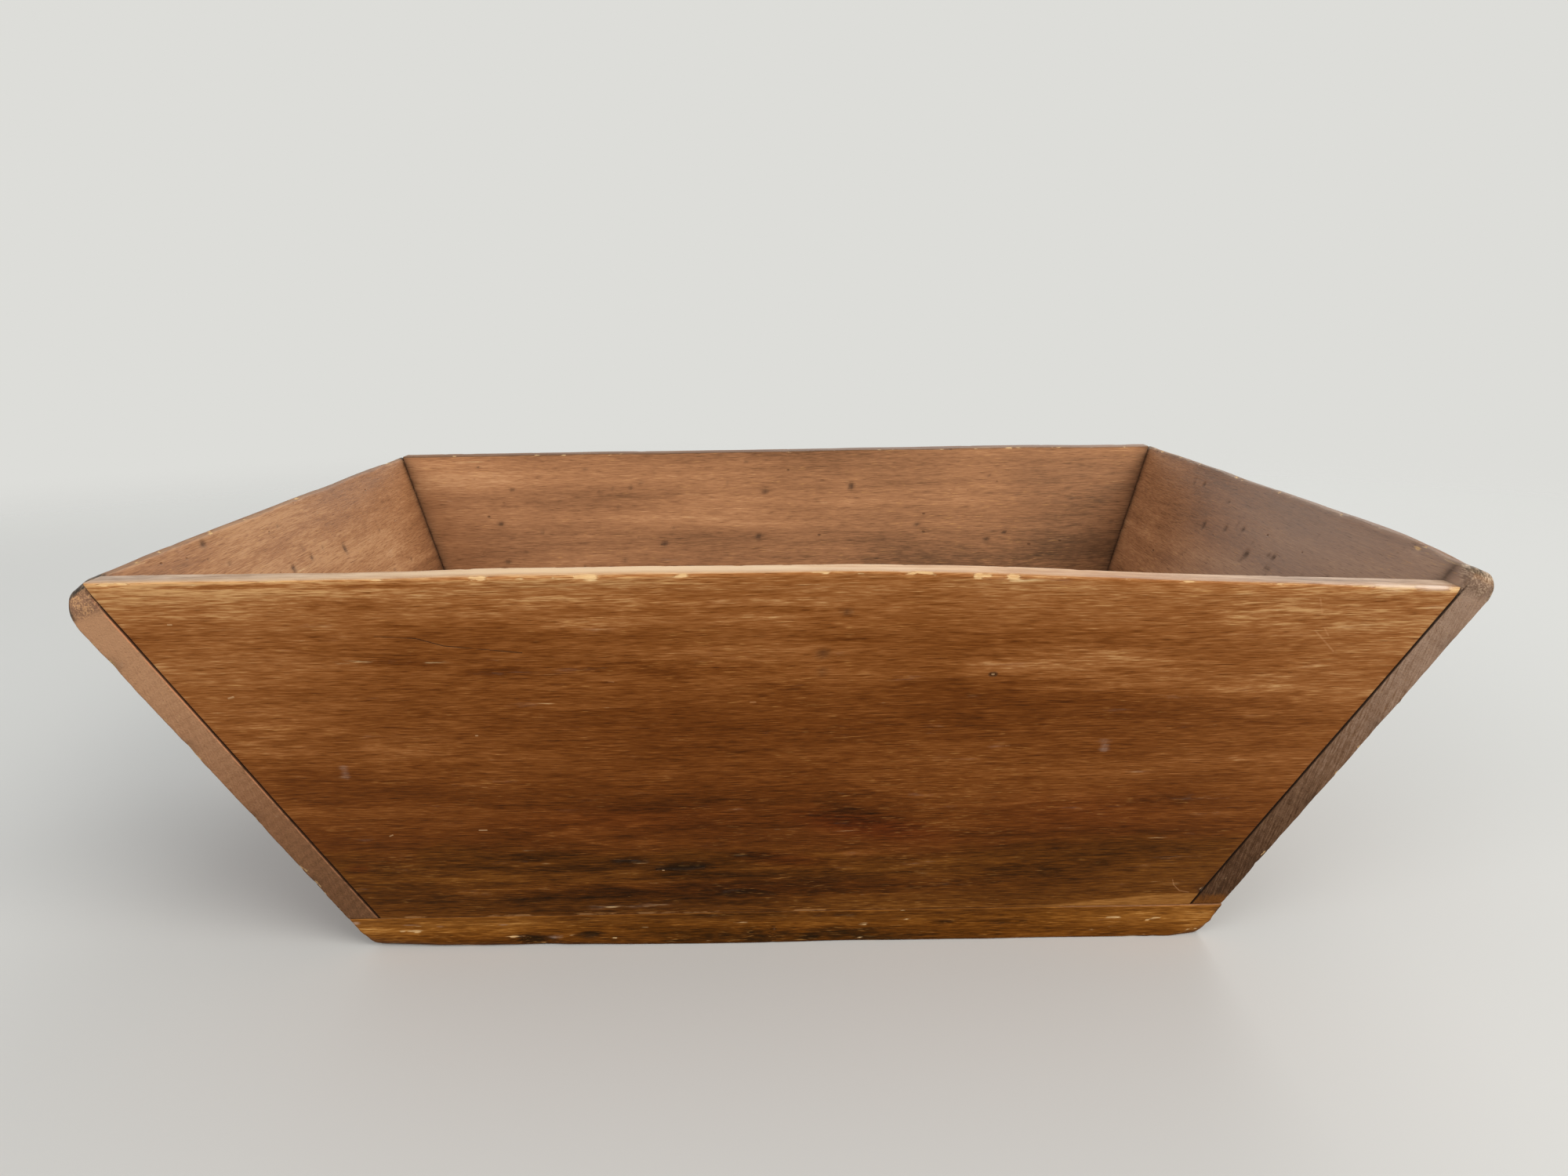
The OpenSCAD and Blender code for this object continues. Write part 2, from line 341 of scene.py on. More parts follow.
FRONT_GOLD = [
    (-132, 281, 62, 13, 0, 0.45), (5, 279, 62, 13, 0, 0.4), (182, 235, 70, 22, 0, 0.75),
    (-245, 168, 46, 18, 0, 0.62), (-132, 98, 50, 14, 0, 0.75), (300, 274, 52, 14, 0, 0.7),
    (-200, 52, 64, 14, 0, 1), (-125, 50, 54, 13, 0, 1), (-315, 190, 46, 20, 0.1, 0.5),
    (104, 64, 16, 3, 0, 0.6), (62, 56, 34, 3, 0.05, 0.55), (-40, 146, 55, 5, -0.05, 0.5),
    (30, 72, 60, 3, 0.08, 0.75), (-20, 60, 60, 4, 0.02, 0.6), (150, 62, 70, 4, 0.04, 0.55),
    (-130, 58, 50, 5, 0, 0.55), (-60, 47, 70, 2.5, 0.03, 0.5), (200, 84, 60, 5, 0.05, 0.4),
    (-105, 138, 40, 4, 0, 0.4), (100, 206, 45, 8, -0.08, 0.35), (300, 215, 50, 26, 0.1, 0.4),
    (20, 290, 150, 7, 0, 0.25), (-185, 60, 60, 5, 0, 0.4), (230, 255, 90, 14, 0.04, 0.25),
    (-230, 100, 60, 10, 0, 0.3)]
FRONT_RED = [
    (54, 100, 60, 14, -0.2, 0.8), (-295, 66, 12, 5, 0, 0.7), (0, 68, 40, 8, -0.1, 0.7),
    (200, 110, 90, 30, 0, 0.4), (-100, 110, 120, 20, 0, 0.4), (-20, 40, 250, 14, 0, 0.5)]
FRONT_PALE = [
    (-286, 157, 4, 8, 0, 0.3), (206, 168, 5, 9, -0.6, 0.34), (352, 292.4, 46, 1.7, -0.052, 1),
    (384, 290.6, 12, 2.2, -0.052, 1)]
BACK_PALE = [(-286, 157, 4, 8, 0, 0.3), (206, 168, 5, 9, -0.6, 0.34)]
BACK_DARK = [
    (315, 190, 90, 22, 0, 1), (-20, 296, 260, 5, 0, 0.45), (150, 200, 60, 20, 0.1, 0.35),
    (260, 190, 90, 24, 0, 0.4), (-250, 262, 60, 6, 0, 0.25), (60, 180, 200, 10, 0, 0.3),
    (330, 240, 40, 30, 0.3, 0.35)]
BACK_GOLD = [
    (-240, 188, 80, 14, 0, 0.4), (-230, 215, 80, 10, 0.02, 0.35), (20, 238, 130, 8, 0, 0.35),
    (190, 255, 110, 9, 0.03, 0.35), (-120, 270, 90, 7, 0, 0.3), (60, 212, 60, 6, 0, 0.4)]


# where the rim has gone grey: places along it in mm, and how much
FRONT_AGED = ((-375, -330, -250, -190, -150, 200, 260, 310, 400), (1, 0.8, 0.5, 0.2, 0, 0, 0.5, 0.85, 0.7))
BACK_AGED = ((-400, 400), (1, 1))


def long_board(name, place, drop, seed, chips, dents, aged, material, masks):
    """The front or the back board."""
    fine_x = graded(800, 1.0, 2.6, 0.06)
    fine_u = graded(306, 0.8, 3.6, 0.055)
    fine_w = graded(BOARD, 0.7, 2.2, 0.3)
    index, faces = box_lattice(len(fine_x), len(fine_w), len(fine_u))
    s = fine_x[index[:, 0]] / 400 - 1
    q = fine_w[index[:, 1]] / BOARD
    t = fine_u[index[:, 2]] / 306
    w = (q - 1) * BOARD
    along = s * inner_x(165.0)
    for _ in range(6):
        top = rim_height(along, drop)
        z = BASE + SHADOW_GAP + t * (top - BASE - SHADOW_GAP)
        along = s * inner_x(z)
    p = np.stack([along, w, (z - UPRIGHT + w * SIN_S) / COS_S], 1)

    wave = noise(p * (1, 0, 0) + (0, 0, seed), (46, 9, 9), seed, 3)
    r_outer = 2.6 + 1.5 * wave
    r_inner = 2.4 + 1.3 * noise(p * (1, 0, 0) + (0, 7, seed), (38, 9, 9), seed + 5, 3)
    r_end = 1.2 + 0.5 * noise(p * (0, 0, 1), (9, 9, 22), seed + 9)
    r_bottom = 0.5 - 0.38 * smooth(p[:, 0], 130, 230)

    def parts(x):
        height = side_height(x)
        reach = inner_x(height) - 0.03
        return (x[:, 1], -x[:, 1] - BOARD, height - rim_height(x[:, 0], drop),
                BASE + SHADOW_GAP - height, (x[:, 0] - reach) * COS_E, (-x[:, 0] - reach) * COS_E)

    def field(x):
        outer, inner, top, bottom, right, left = parts(x)
        f = round_max(outer, top, r_outer)
        f = round_max(f, inner, r_inner)
        f = round_max(f, bottom, r_bottom)
        return round_max(round_max(f, right, r_end), left, r_end)

    p, slope = settle(p, field)
    outer, inner, top, bottom, right, left = parts(p)
    plane = planed(p, seed, (150, 60, 26), (60, 30, 7))
    plane = plane * smooth(-np.maximum(right, left), 0.5, 6) * smooth(-bottom, 0.5, 8)
    rim_wave = 0.9 * noise(p * (1, 0, 0), (120, 9, 9), seed + 31) * smooth(top, -9, 0)
    chip = np.zeros(len(p))
    for a, half, deep in chips:
        ragged = smooth(noise(p, (3.2, 2.4, 2.0), seed + int(a) % 97), -0.9, 0.15)
        edge = np.exp(-((outer / 2.6) ** 2) - ((top + 0.6) / 2.4) ** 2)
        chip += deep * ragged * edge * np.exp(-((p[:, 0] - a) / (0.75 * half)) ** 4)
    small = smooth(noise(p, (7, 5, 5), seed + 41), 0.32, 0.6) * np.exp(-((top / 3.0) ** 2))
    small = small * np.exp(-(np.minimum(-outer, -inner) / 4.0) ** 2)
    sharp = np.maximum.reduce(parts(p))
    carve = plane + np.maximum(rim_wave, -0.4) + chip + 0.35 * small + dents_at(p, dents)
    p = p - slope * carve[:, None]

    made = common_masks(p, slope, sharp, chip + 0.5 * small, place)
    # darker into the inside corners at the board's ends: soil with painted shade
    made["corner_dirt_and_shade"] = np.exp(-np.minimum(-right, -left) / 5.0)
    made["seam"] = np.clip(1 - np.minimum(-right, -left) / 1.7, 0, 1) * smooth(outer, -2.5, -0.8)
    made["low"] = np.exp(-np.maximum(-bottom, 0) / 9.0)
    foot_high = 3.5 + 8.0 * smooth(p[:, 0], 180, 290)
    made["foot"] = (1 - smooth(-bottom, foot_high - 3.5, foot_high + 2.5)) * (
        smooth(p[:, 0], 110, 230) + 0.6 * smooth(-p[:, 0], 210, 290))
    made["aged"] = np.interp(p[:, 0], *aged)
    made["pit"] = pits_at(p, dents)
    for key, (face, blobs) in masks.items():
        made[key] = blobs_at(p, blobs, face)
    world = place.world(p)
    p[:, 0] += slip(world[:, 2], world[:, 1])
    return make_mesh(name, p, slope, faces, place, made, material)


# ---------------------------------------------------------------- end boards
LEFT_DENTS = [
    ((-63, -21, 251), (3.4, 3, 2.4), 0.9), ((-24, -21, 253), (2.6, 3, 2), 0.7),
    ((45, -21, 246), (3, 3, 3.6), 0.9), ((-300, -6, 303), (9, 8, 5), 0.8),
    ((-213, 0, 302), (8, 6, 5), 2.2), ((-137, -3, 303), (9, 6, 5), 2.4), ((-60, -2, 303), (16, 6, 5), 1.3),
    ((33, -6, 303), (5, 6, 5), 2), ((-200, -20, 300), (5, 5, 4), 0.8), ((-170, -21, 296), (4, 4, 3), 0.6)]
RIGHT_DENTS = [
    ((-36, -21, 245), (4, 3, 3), 0.9), ((-82, -21, 252), (3, 3, 2.4), 0.8),
    ((23, -21, 257), (3, 3, 2.2), 0.8), ((69, -21, 251), (3, 3, 3), 0.8),
    ((-10, -21, 262), (3, 3, 2), 0.7), ((110, -21, 285), (3, 3, 2), 0.7),
    ((-250, -20, 297), (9, 5, 4), 1.3), ((-215, -4, 303), (24, 6, 4), 0.9),
    ((-120, -2, 303), (14, 6, 4), 1.1), ((40, -4, 303), (10, 6, 4), 0.8),
    ((-280, -12, 297), (12, 7, 5), 1)]
# how the ends of the top are worn: roundings in mm, and how far the top falls away
LEFT_SHAPE = {"tips": (14, 18), "round": 8, "tilt": 0.2, "swell": 0, "lower": 0, "ragged": 0.2}
RIGHT_SHAPE = {"tips": (12, 17), "round": 6.5, "tilt": 0, "swell": 2, "lower": 4, "ragged": 0.45}
LEFT_DARK = [
    (-180, 286, 60, 6, 0, 0.25), (120, 250, 90, 20, 0, 0.25), (60, 290, 200, 5, 0, 0.35),
    (-40, 230, 50, 14, 0.1, 0.25), (210, 230, 40, 40, 0, 0.3)]
LEFT_GOLD = [(-20, 268, 70, 12, 0.1, 0.4), (140, 215, 70, 14, 0.1, 0.35), (-120, 262, 60, 10, 0.1, 0.35)]
RIGHT_DARK = [
    (-230, 288, 60, 6, 0, 0.45), (-60, 292, 160, 5, 0, 0.4), (60, 240, 90, 20, 0, 0.25),
    # the thin patches at 297 and 299 mm up paint the shadow line under the inner top arris, over the dents
    # there
    (230, 240, 30, 60, 0, 0.4), (-30, 262, 60, 6, 0.05, 0.25), (-250, 297, 60, 2.6, 0, 1),
    (-120, 299, 60, 1.8, 0, 0.8), (-298, 290, 7, 4, 0, 1)]
RIGHT_GOLD = [(190, 225, 50, 30, 0, 0.45), (60, 262, 60, 8, 0, 0.25)]


def end_board(name, place, seed, dents, material, masks, shape, heads):
    """The left or the right board, whose front and back edges show end grain."""
    fine_y = graded(620, 0.9, 2.8, 0.05, extra=(10.5, 609.5))
    fine_u = graded(302, 0.8, 3.4, 0.06)
    fine_w = graded(BOARD, 0.7, 2.0, 0.3)
    index, faces = box_lattice(len(fine_y), len(fine_w), len(fine_u))
    s = fine_y[index[:, 0]] / 310 - 1
    w = fine_w[index[:, 1]] - BOARD
    t = fine_u[index[:, 2]] / 302
    low = (BASE + SHADOW_GAP - UPRIGHT + w * SIN_E) / COS_E
    u = low + t * (END_TOP - low)
    p = np.stack([0 * s, w, u], 1)
    reach = outer_y(end_height(p))
    p[:, 0] = s * reach
    front_side = p[:, 0] < 0
    near_top = smooth(p[:, 2], END_TOP - 26, END_TOP - 6)

    wave = noise(p * (1, 0, 0) + (0, 0, seed), (40, 9, 9), seed, 3)
    r_outer = 0.8 + near_top * (shape["round"] + 1.4 * wave)
    r_inner = 0.8 + near_top * (3.0 + 1.4 * noise(p * (1, 0, 0), (33, 9, 9), seed + 3, 3))
    r_tip = np.where(front_side, shape["tips"][0], shape["tips"][1])
    r_edge = 1.0 + 0.6 * noise(p * (0, 0, 1), (9, 9, 16), seed + 7, 3) + near_top * 2.5

    def parts(x):
        height = end_height(x)
        front = smooth(-x[:, 0], 220, 305)
        swell = shape["swell"] * front * smooth(x[:, 2], 10, 150)
        worn = front * (shape["lower"] + shape["tilt"] * (x[:, 1] + BOARD))
        return (x[:, 1] - swell, -x[:, 1] - BOARD, x[:, 2] - END_TOP + worn,
                BASE + SHADOW_GAP - height, (np.abs(x[:, 0]) - outer_y(height)) * COS_S)

    def field(x):
        outer, inner, top, bottom, edge = parts(x)
        outline = round_max(edge, top, r_tip)
        f = round_max(outline, outer, np.maximum(r_outer, r_edge))
        f = round_max(f, inner, np.maximum(r_inner, 0.9))
        return round_max(f, bottom, 1.0)

    p, slope = settle(p, field, 10)
    outer, inner, top, bottom, edge = parts(p)
    plane = planed(p, seed, (130, 60, 24), (50, 30, 7))
    plane = plane * smooth(-bottom, 0.5, 8) * smooth(-edge, 0.5, 6)
    saw = 0.16 * noise(p, (4, 9, 1.6), seed + 27) * smooth(edge, -2, -0.5)
    rim_wave = 0.8 * noise(p * (1, 0, 0), (90, 9, 9), seed + 31) * smooth(top, -9, 0)
    small = smooth(noise(p, (8, 5, 5), seed + 41), 0.25, 0.6) * np.exp(-((top / 4.0) ** 2))
    ragged = smooth(noise(p, (5, 5, 6), seed + 43), 0.28, 0.6)
    ragged = ragged * np.exp(-((edge / 2.2) ** 2) - (outer / 2.6) ** 2)
    sunk = np.zeros(len(p))
    for head in heads:
        far = ((p - head) ** 2).sum(1)
        sunk += 0.55 * np.exp(-far / 40.0)
    sharp = np.maximum.reduce(parts(p))
    carve = plane + saw + np.maximum(rim_wave, -0.4) + 0.5 * small + shape["ragged"] * ragged + sunk
    carve = carve + dents_at(p, dents)
    p = p - slope * carve[:, None]

    chip = 0.6 * small + ragged + np.clip(dents_at(p, dents) - 0.8, 0, 1)
    made = common_masks(p, slope, sharp, chip, place)
    inner_joint = np.abs(np.abs(p[:, 0]) - (outer_y(end_height(p)) - BOARD / COS_S))
    # darker into the inside corners by the joints: soil with painted shade
    made["corner_dirt_and_shade"] = np.exp(-inner_joint / 6.0) * smooth(-p[:, 1], BOARD - 4, BOARD - 1)
    made["low"] = np.exp(-np.maximum(-bottom, 0) / 9.0)
    made["pit"] = pits_at(p, dents)
    made["rust"] = np.clip(sunk * 2, 0, 1)
    made["foot"] = (1 - smooth(-bottom, 3, 15)) * (front_side & (edge > -4))
    made["tip"] = smooth(np.abs(p[:, 0]) + 0.9 * (p[:, 2] - END_TOP), 280, 303)
    made["tip_edge"] = made["tip"] * smooth(np.maximum(outer, top), -6.5, -1.5)
    made["seam"] = np.clip(1 - (p[:, 1] + BOARD) / 2.4, 0, 1) * smooth(edge, -1.5, -0.4)
    for key, (face, blobs) in masks.items():
        made[key] = blobs_at(p, blobs, face)
    creep = slip(end_height(p), p[:, 0]) * np.clip(-p[:, 1] / BOARD, 0, 1) * COS_E
    p[:, 1] += creep * np.sign(place.axes[1, 0])
    return make_mesh(name, p, slope, faces, place, made, material)


# ---------------------------------------------------------------- base boards
BASE_FRONT_DENTS = [
    ((-184, -206, 6), (9, 5, 4), 2.6), ((-172, -206, 3), (8, 5, 3), 1.4),
    ((-143, -206, 10), (6, 3, 2.4), 1), ((112, -207, 14.5), (9, 4, 1.6), 1.3),
    ((157, -207, 14.5), (20, 4, 1.5), 1.5), ((-10, -206, 8), (2, 4, 7), 0.7),
    ((311, -209, 23), (3, 4, 3), 0.6), ((40, -206, 2), (30, 5, 3), 0.8)]
BASE_DARK = [
    (-184, 6, 14, 4, 0, 1), (-143, 10, 10, 3, 0, 0.9), (112, 14.5, 10, 2, 0, 0.9),
    (157, 14.5, 22, 2, 0, 0.9), (20, 5, 60, 5, 0, 0.45), (250, 6, 50, 4, 0, 0.35),
    (-20, 26, 180, 3.5, 0, 0.8), (120, 22, 70, 2, 0, 0.4), (0, 8, 110, 7, 0, 0.5),
    (316, 24, 4, 3.6, 0, 1.3), (10, 6, 100, 8, 0, 0.8)]
BASE_GOLD = [
    (-240, 22, 60, 6, 0, 0.6), (-90, 20, 60, 4, 0, 0.45), (230, 21, 70, 6, 0, 0.35),
    (-205, 19, 44, 7, 0, 0.95), (-290, 14, 25, 12, 0, 0.5), (292, 14, 22, 12, 0, 0.5)]
BASE_PALE = [
    (-168, 8, 6, 1.6, 0, 0.3), (-310, 24, 4, 2, 0, 0.5), (-9, 9, 1, 7, 0, 0.22),
    (-250, 19, 5, 1.2, 0, 0.4), (-272, 21, 9, 0.9, 0, 0.4), (-205, 20, 4, 0.8, 0, 0.5)]


# how round the lower edge is along the front: places in mm, and roundings in mm
BASE_LOW_ROUND = ((-300, -255, -180, -70, 280, 306), (16, 8, 6, 2.5, 2.5, 12))


def base_board(name, front, seed, dents, material, heads):
    """One of the two boards of the bottom, with a plain rounded edge where it meets the other in the
    middle.
    """
    low_y, high_y = (-HALF_DEPTH, BASE_JOINT) if front else (BASE_JOINT, HALF_DEPTH)
    xs = graded(2 * HALF_LENGTH, 1.0, 4.2, 0.10, extra=[h[0] + HALF_LENGTH for h in heads])
    ys = graded(high_y - low_y, 1.0, 6.0, 0.10, extra=[abs(h[1] - low_y) for h in heads])
    zs = graded(BASE, 0.9, 1.5, 0.2)
    index, faces = box_lattice(len(xs), len(ys), len(zs))
    s = xs[index[:, 0]] / HALF_LENGTH - 1
    r = ys[index[:, 1]] / (high_y - low_y)
    z = zs[index[:, 2]]
    lean = np.maximum(z - UPRIGHT, 0)
    x = s * (HALF_LENGTH + lean * TAN_E)
    y_out = HALF_DEPTH + lean * TAN_S
    y = -y_out + r * (BASE_JOINT + y_out) if front else BASE_JOINT + r * (y_out - BASE_JOINT)
    p = np.stack([x, y, z], 1)

    mid = -1 if front else 1
    wave = noise(p * (1, 1, 0), (50, 50, 9), seed, 3)
    r_low = np.interp(p[:, 0], *BASE_LOW_ROUND) + wave
    r_low_end = np.where(p[:, 0] < 0, 22.0, 26.0) + 2.0 * wave
    r_plan = 1.5 + np.where(p[:, 0] < 0, 10.5, 14.5) * (1 - smooth(p[:, 2], 6, 20))
    hollow = 2.0 + 7.0 * smooth(p[:, 0], 100, 280)
    r_top = 0.5 - 0.38 * smooth(p[:, 0], 130, 230)

    def parts(q):
        lean_x = (np.abs(q[:, 0]) - outer_x(q[:, 2])) * COS_E
        lean_y = (mid * q[:, 1] - outer_y(q[:, 2])) * COS_S
        end = -round_max(-(np.abs(q[:, 0]) - HALF_LENGTH), -lean_x, hollow)
        side = -round_max(-(mid * q[:, 1] - HALF_DEPTH), -lean_y, hollow)
        joint = mid * (BASE_JOINT - q[:, 1]) + SHADOW_GAP / 2
        return end, side, q[:, 2] - BASE, -q[:, 2], joint

    def field(q):
        end, side, top, bottom, joint = parts(q)
        plan = round_max(end, side, r_plan)
        f = round_max(plan, bottom, np.where(side > end, r_low, r_low_end))
        f = round_max(f, top, r_top)
        return round_max(f, joint, 1.1)

    p, slope = settle(p, field, 9)
    end, side, top, bottom, joint = parts(p)
    outside = smooth(np.maximum(end, side), -3, -0.5)
    plane = planed(p, seed, (120, 60, 18), (50, 30, 5), (0.20, 0.12)) * smooth(-joint, 0.5, 6)
    ragged = smooth(noise(p, (14, 8, 3), seed + 43, 3), 0.42, 0.7) * outside
    sunk = np.zeros(len(p))
    for head in heads:
        far = ((p[:, :2] - head[:2]) ** 2).sum(1)
        sunk += 2.0 * np.exp(-far / 26.0) * smooth(-p[:, 2], -6, -1)
    sharp = np.maximum.reduce(parts(p))
    carve = plane * smooth(-top, 0, 3) + 0.35 * ragged + sunk + dents_at(p, dents)
    p = p - slope * carve[:, None]

    chip = 0.5 * ragged * smooth(sharp, -2.5, -0.6)
    made = common_masks(p, slope, sharp, chip, GROUND)
    made["inside"] = smooth(slope[:, 2], 0.6, 0.9)
    made["rim"] = np.zeros(len(p))
    wall = np.minimum(-end, -side) - BOARD
    # darker by the walls inside and along the middle joint: soil with painted shade
    made["corner_dirt_and_shade"] = np.exp(-np.abs(wall) / 7.0) * made["inside"] + 0.6 * np.exp(joint / 2.0)
    made["low"] = smooth(-slope[:, 2], 0.2, 0.8)
    made["wear"] = 0.6 * made["wear"] * smooth(p[:, 2], 10, 16)
    made["pit"] = pits_at(p, dents, 0.8)
    made["rust"] = np.clip(sunk * 0.7, 0, 1)
    for key, blobs in (("dark", BASE_DARK), ("gold", BASE_GOLD), ("pale", BASE_PALE)):
        made[key] = blobs_at(p, blobs if front else [], -HALF_DEPTH, 9.0)
    return make_mesh(name, p, slope, faces, GROUND, made, material)


# ---------------------------------------------------------------- materials
def tone(red, green, blue):
    """A display colour, 0 to 255, as the linear colour that a shader takes."""
    made = []
    for c in (red / 255, green / 255, blue / 255):
        made.append(c / 12.92 if c <= 0.04045 else ((c + 0.055) / 1.055) ** 2.4)
    return (*made, 1.0)


class Number:
    """A node's output, with + - * made as Math nodes of the same material."""

    def __init__(self, net, socket):
        self.net = net
        self.socket = socket

    def __add__(self, other):
        return self.net.math("ADD", self, other)

    def __sub__(self, other):
        return self.net.math("SUBTRACT", self, other)

    def __rsub__(self, other):
        return self.net.math("SUBTRACT", other, self)

    def __mul__(self, other):
        return self.net.math("MULTIPLY", self, other)


class Net:
    """Short words for building the nodes of one material or world."""

    def __init__(self, owner):
        owner.use_nodes = True
        self.owner, self.tree = owner, owner.node_tree
        self.tree.nodes.clear()

    def add(self, kind, **settings):
        node = self.tree.nodes.new(kind)
        for key, value in settings.items():
            setattr(node, key, value)
        return node

    def put(self, socket, value):
        if isinstance(value, Number):
            self.tree.links.new(value.socket, socket)
        elif value is not None:
            socket.default_value = value

    def make(self, kind, inputs, out=0, **settings):
        """Adds a node, fills the named or numbered inputs and gives one output."""
        node = self.add(kind, **settings)
        for key, value in inputs.items():
            self.put(node.inputs[key], value)
        return Number(self, node.outputs[out])

    def math(self, kind, a, b=None, clamp=False):
        return self.make("ShaderNodeMath", {0: a, 1: b}, operation=kind, use_clamp=clamp)

    def most(self, a, b):
        return self.math("MAXIMUM", a, b)

    def vector(self, kind, a, b=None, out=0):
        return self.make("ShaderNodeVectorMath", {0: a, 1: b}, out, operation=kind)

    def stretch(self, vector, scale, shift=(0, 0, 0), turn=(0, 0, 0)):
        return self.make("ShaderNodeMapping", {
            "Vector": vector, "Scale": scale, "Location": shift, "Rotation": turn})

    def noise(self, vector, detail=2.0, rough=0.5, warp=0.0, colour=False):
        return self.make("ShaderNodeTexNoise", {
            "Vector": vector, "Scale": 1.0, "Detail": detail, "Roughness": rough, "Distortion": warp},
            "Color" if colour else "Fac")

    def ease(self, value, low, high, to_low=0.0, to_high=1.0):
        return self.make("ShaderNodeMapRange", {
            "Value": value, "From Min": low, "From Max": high, "To Min": to_low, "To Max": to_high},
            "Result", interpolation_type="SMOOTHSTEP")

    def ramp(self, value, stops):
        node = self.add("ShaderNodeValToRGB")
        self.put(node.inputs["Fac"], value)
        band = node.color_ramp
        while len(band.elements) < len(stops):
            band.elements.new(0.5)
        for element, (place, colour) in zip(band.elements, stops):
            element.position = place
        for element, (place, colour) in zip(band.elements, stops):
            element.color = tone(*colour)
        return Number(self, node.outputs["Color"])

    def mix(self, amount, a, b, kind="MIX"):
        """Colour a, going to colour b by the amount."""
        return self.make("ShaderNodeMix", {"Factor": amount, 6: a, 7: b}, 2,
                         data_type="RGBA", blend_type=kind)

    def mask(self, name, out="Fac"):
        return self.make("ShaderNodeAttribute", {}, out, attribute_name=name)

    def bump(self, height, depth, normal=None):
        return self.make("ShaderNodeBump", {
            "Strength": 1.0, "Distance": depth, "Height": height, "Normal": normal}, "Normal")

    def surface(self, inputs, kind="ShaderNodeBsdfPrincipled", output="ShaderNodeOutputMaterial"):
        """Makes the shader with these inputs the owner's surface, and gives the owner."""
        self.put(self.add(output).inputs["Surface"], self.make(kind, inputs))
        return self.owner

    def stroke(self, flat, start, end, width):
        """A thin mark from start to end on a face, in mm of the board's own axes."""
        a = np.array([start[0], 0, start[1]]) * MM
        b = np.array([end[0], 0, end[1]]) * MM
        run = b - a
        from_a = self.vector("SUBTRACT", flat, tuple(a))
        part = self.vector("DOT_PRODUCT", from_a, tuple(run / max(run @ run, 1e-9)), out=1)
        part = self.math("MULTIPLY", part, 1.0, clamp=True)
        nearest = self.make("ShaderNodeVectorMath", {0: tuple(run), "Scale": part}, operation="SCALE")
        gap = self.vector("SUBTRACT", from_a, nearest)
        return self.ease(self.vector("LENGTH", gap, out=1), width * MM * 0.3, width * MM, 1.0, 0.0)


OUTSIDE = [
    (0, (36, 15, 2)), (0.14, (70, 33, 4)), (0.28, (94, 47, 10)), (0.42, (114, 60, 17)),
    (0.56, (134, 77, 30)), (0.7, (155, 95, 46)), (0.84, (176, 117, 66)), (1, (214, 164, 108))]
OLIVE = [
    (0, (30, 15, 2)), (0.2, (64, 33, 3)), (0.4, (98, 53, 8)), (0.6, (132, 79, 24)), (0.8, (168, 110, 46)),
    (1, (222, 168, 96))]
OLIVE_LIGHT = [(0, (70, 35, 4)), (0.3, (106, 57, 12)), (0.6, (142, 88, 32)), (1, (200, 140, 72))]
INSIDE = [
    (0, (64, 40, 24)), (0.25, (106, 70, 44)), (0.5, (146, 99, 65)), (0.75, (174, 122, 82)),
    (1, (202, 152, 108))]
OLIVE_FRONT = [
    (0, (34, 17, 2)), (0.2, (66, 35, 4)), (0.4, (106, 61, 14)), (0.6, (140, 90, 31)),
    (0.8, (176, 124, 58)), (1, (214, 170, 102))]
AGED_RIM = [(0.25, (112, 90, 74)), (0.45, (164, 136, 114)), (0.65, (204, 178, 154))]
DARK_RIM = [(0.25, (66, 43, 30)), (0.5, (104, 74, 52)), (0.75, (150, 116, 88))]
# the front rim's pale colour: worn wood with a painted sheen on its top
WORN_RIM_AND_SHEEN = [(0.22, (180, 124, 74)), (0.42, (224, 178, 130)), (0.62, (240, 204, 160))]
GREY_RIM = [(0, (78, 58, 44)), (0.5, (128, 98, 74)), (1, (172, 142, 114))]
CHIP = [(0.2, (200, 142, 82)), (0.8, (246, 214, 158))]
# of these, the grey is a painted sheen and the spark colour a painted highlight
SHEEN_GREY, RED, PAINTED_GLINT, PORE = tone(158, 138, 124), tone(238, 150, 120), tone(218, 164, 92), tone(52, 26, 10)
# the first colour is soil, and in the inside corners painted shade as well
DIRT_AND_SHADE, BARE, AGED_BARE, PALE = tone(52, 33, 24), tone(186, 138, 92), tone(132, 98, 72), tone(240, 214, 192)
CHIPPED, JOINT_CHIP_AND_GLINT, SEAM, RUST = tone(214, 158, 100), tone(232, 158, 112), tone(26, 13, 7), tone(40, 26, 20)
MARK_KINDS = {"crack": (0.75, tone(40, 19, 6)), "light": (0.6, tone(232, 190, 140)),
              "fine": (0.45, tone(206, 150, 100))}
# the edges with end grain: how light they are at the foot and the rim, how much the saw and the
# hands have left on them, and how golden their foot is
EDGE = {"low": 0.10, "high": 0.62, "sawn": 0.38, "tip": 0.0, "foot": 0.0,
        "colours": [(0, (52, 32, 18)), (0.3, (92, 64, 42)), (0.6, (132, 98, 72)), (1, (182, 146, 116))]}
CURVE_TOP = 0.320


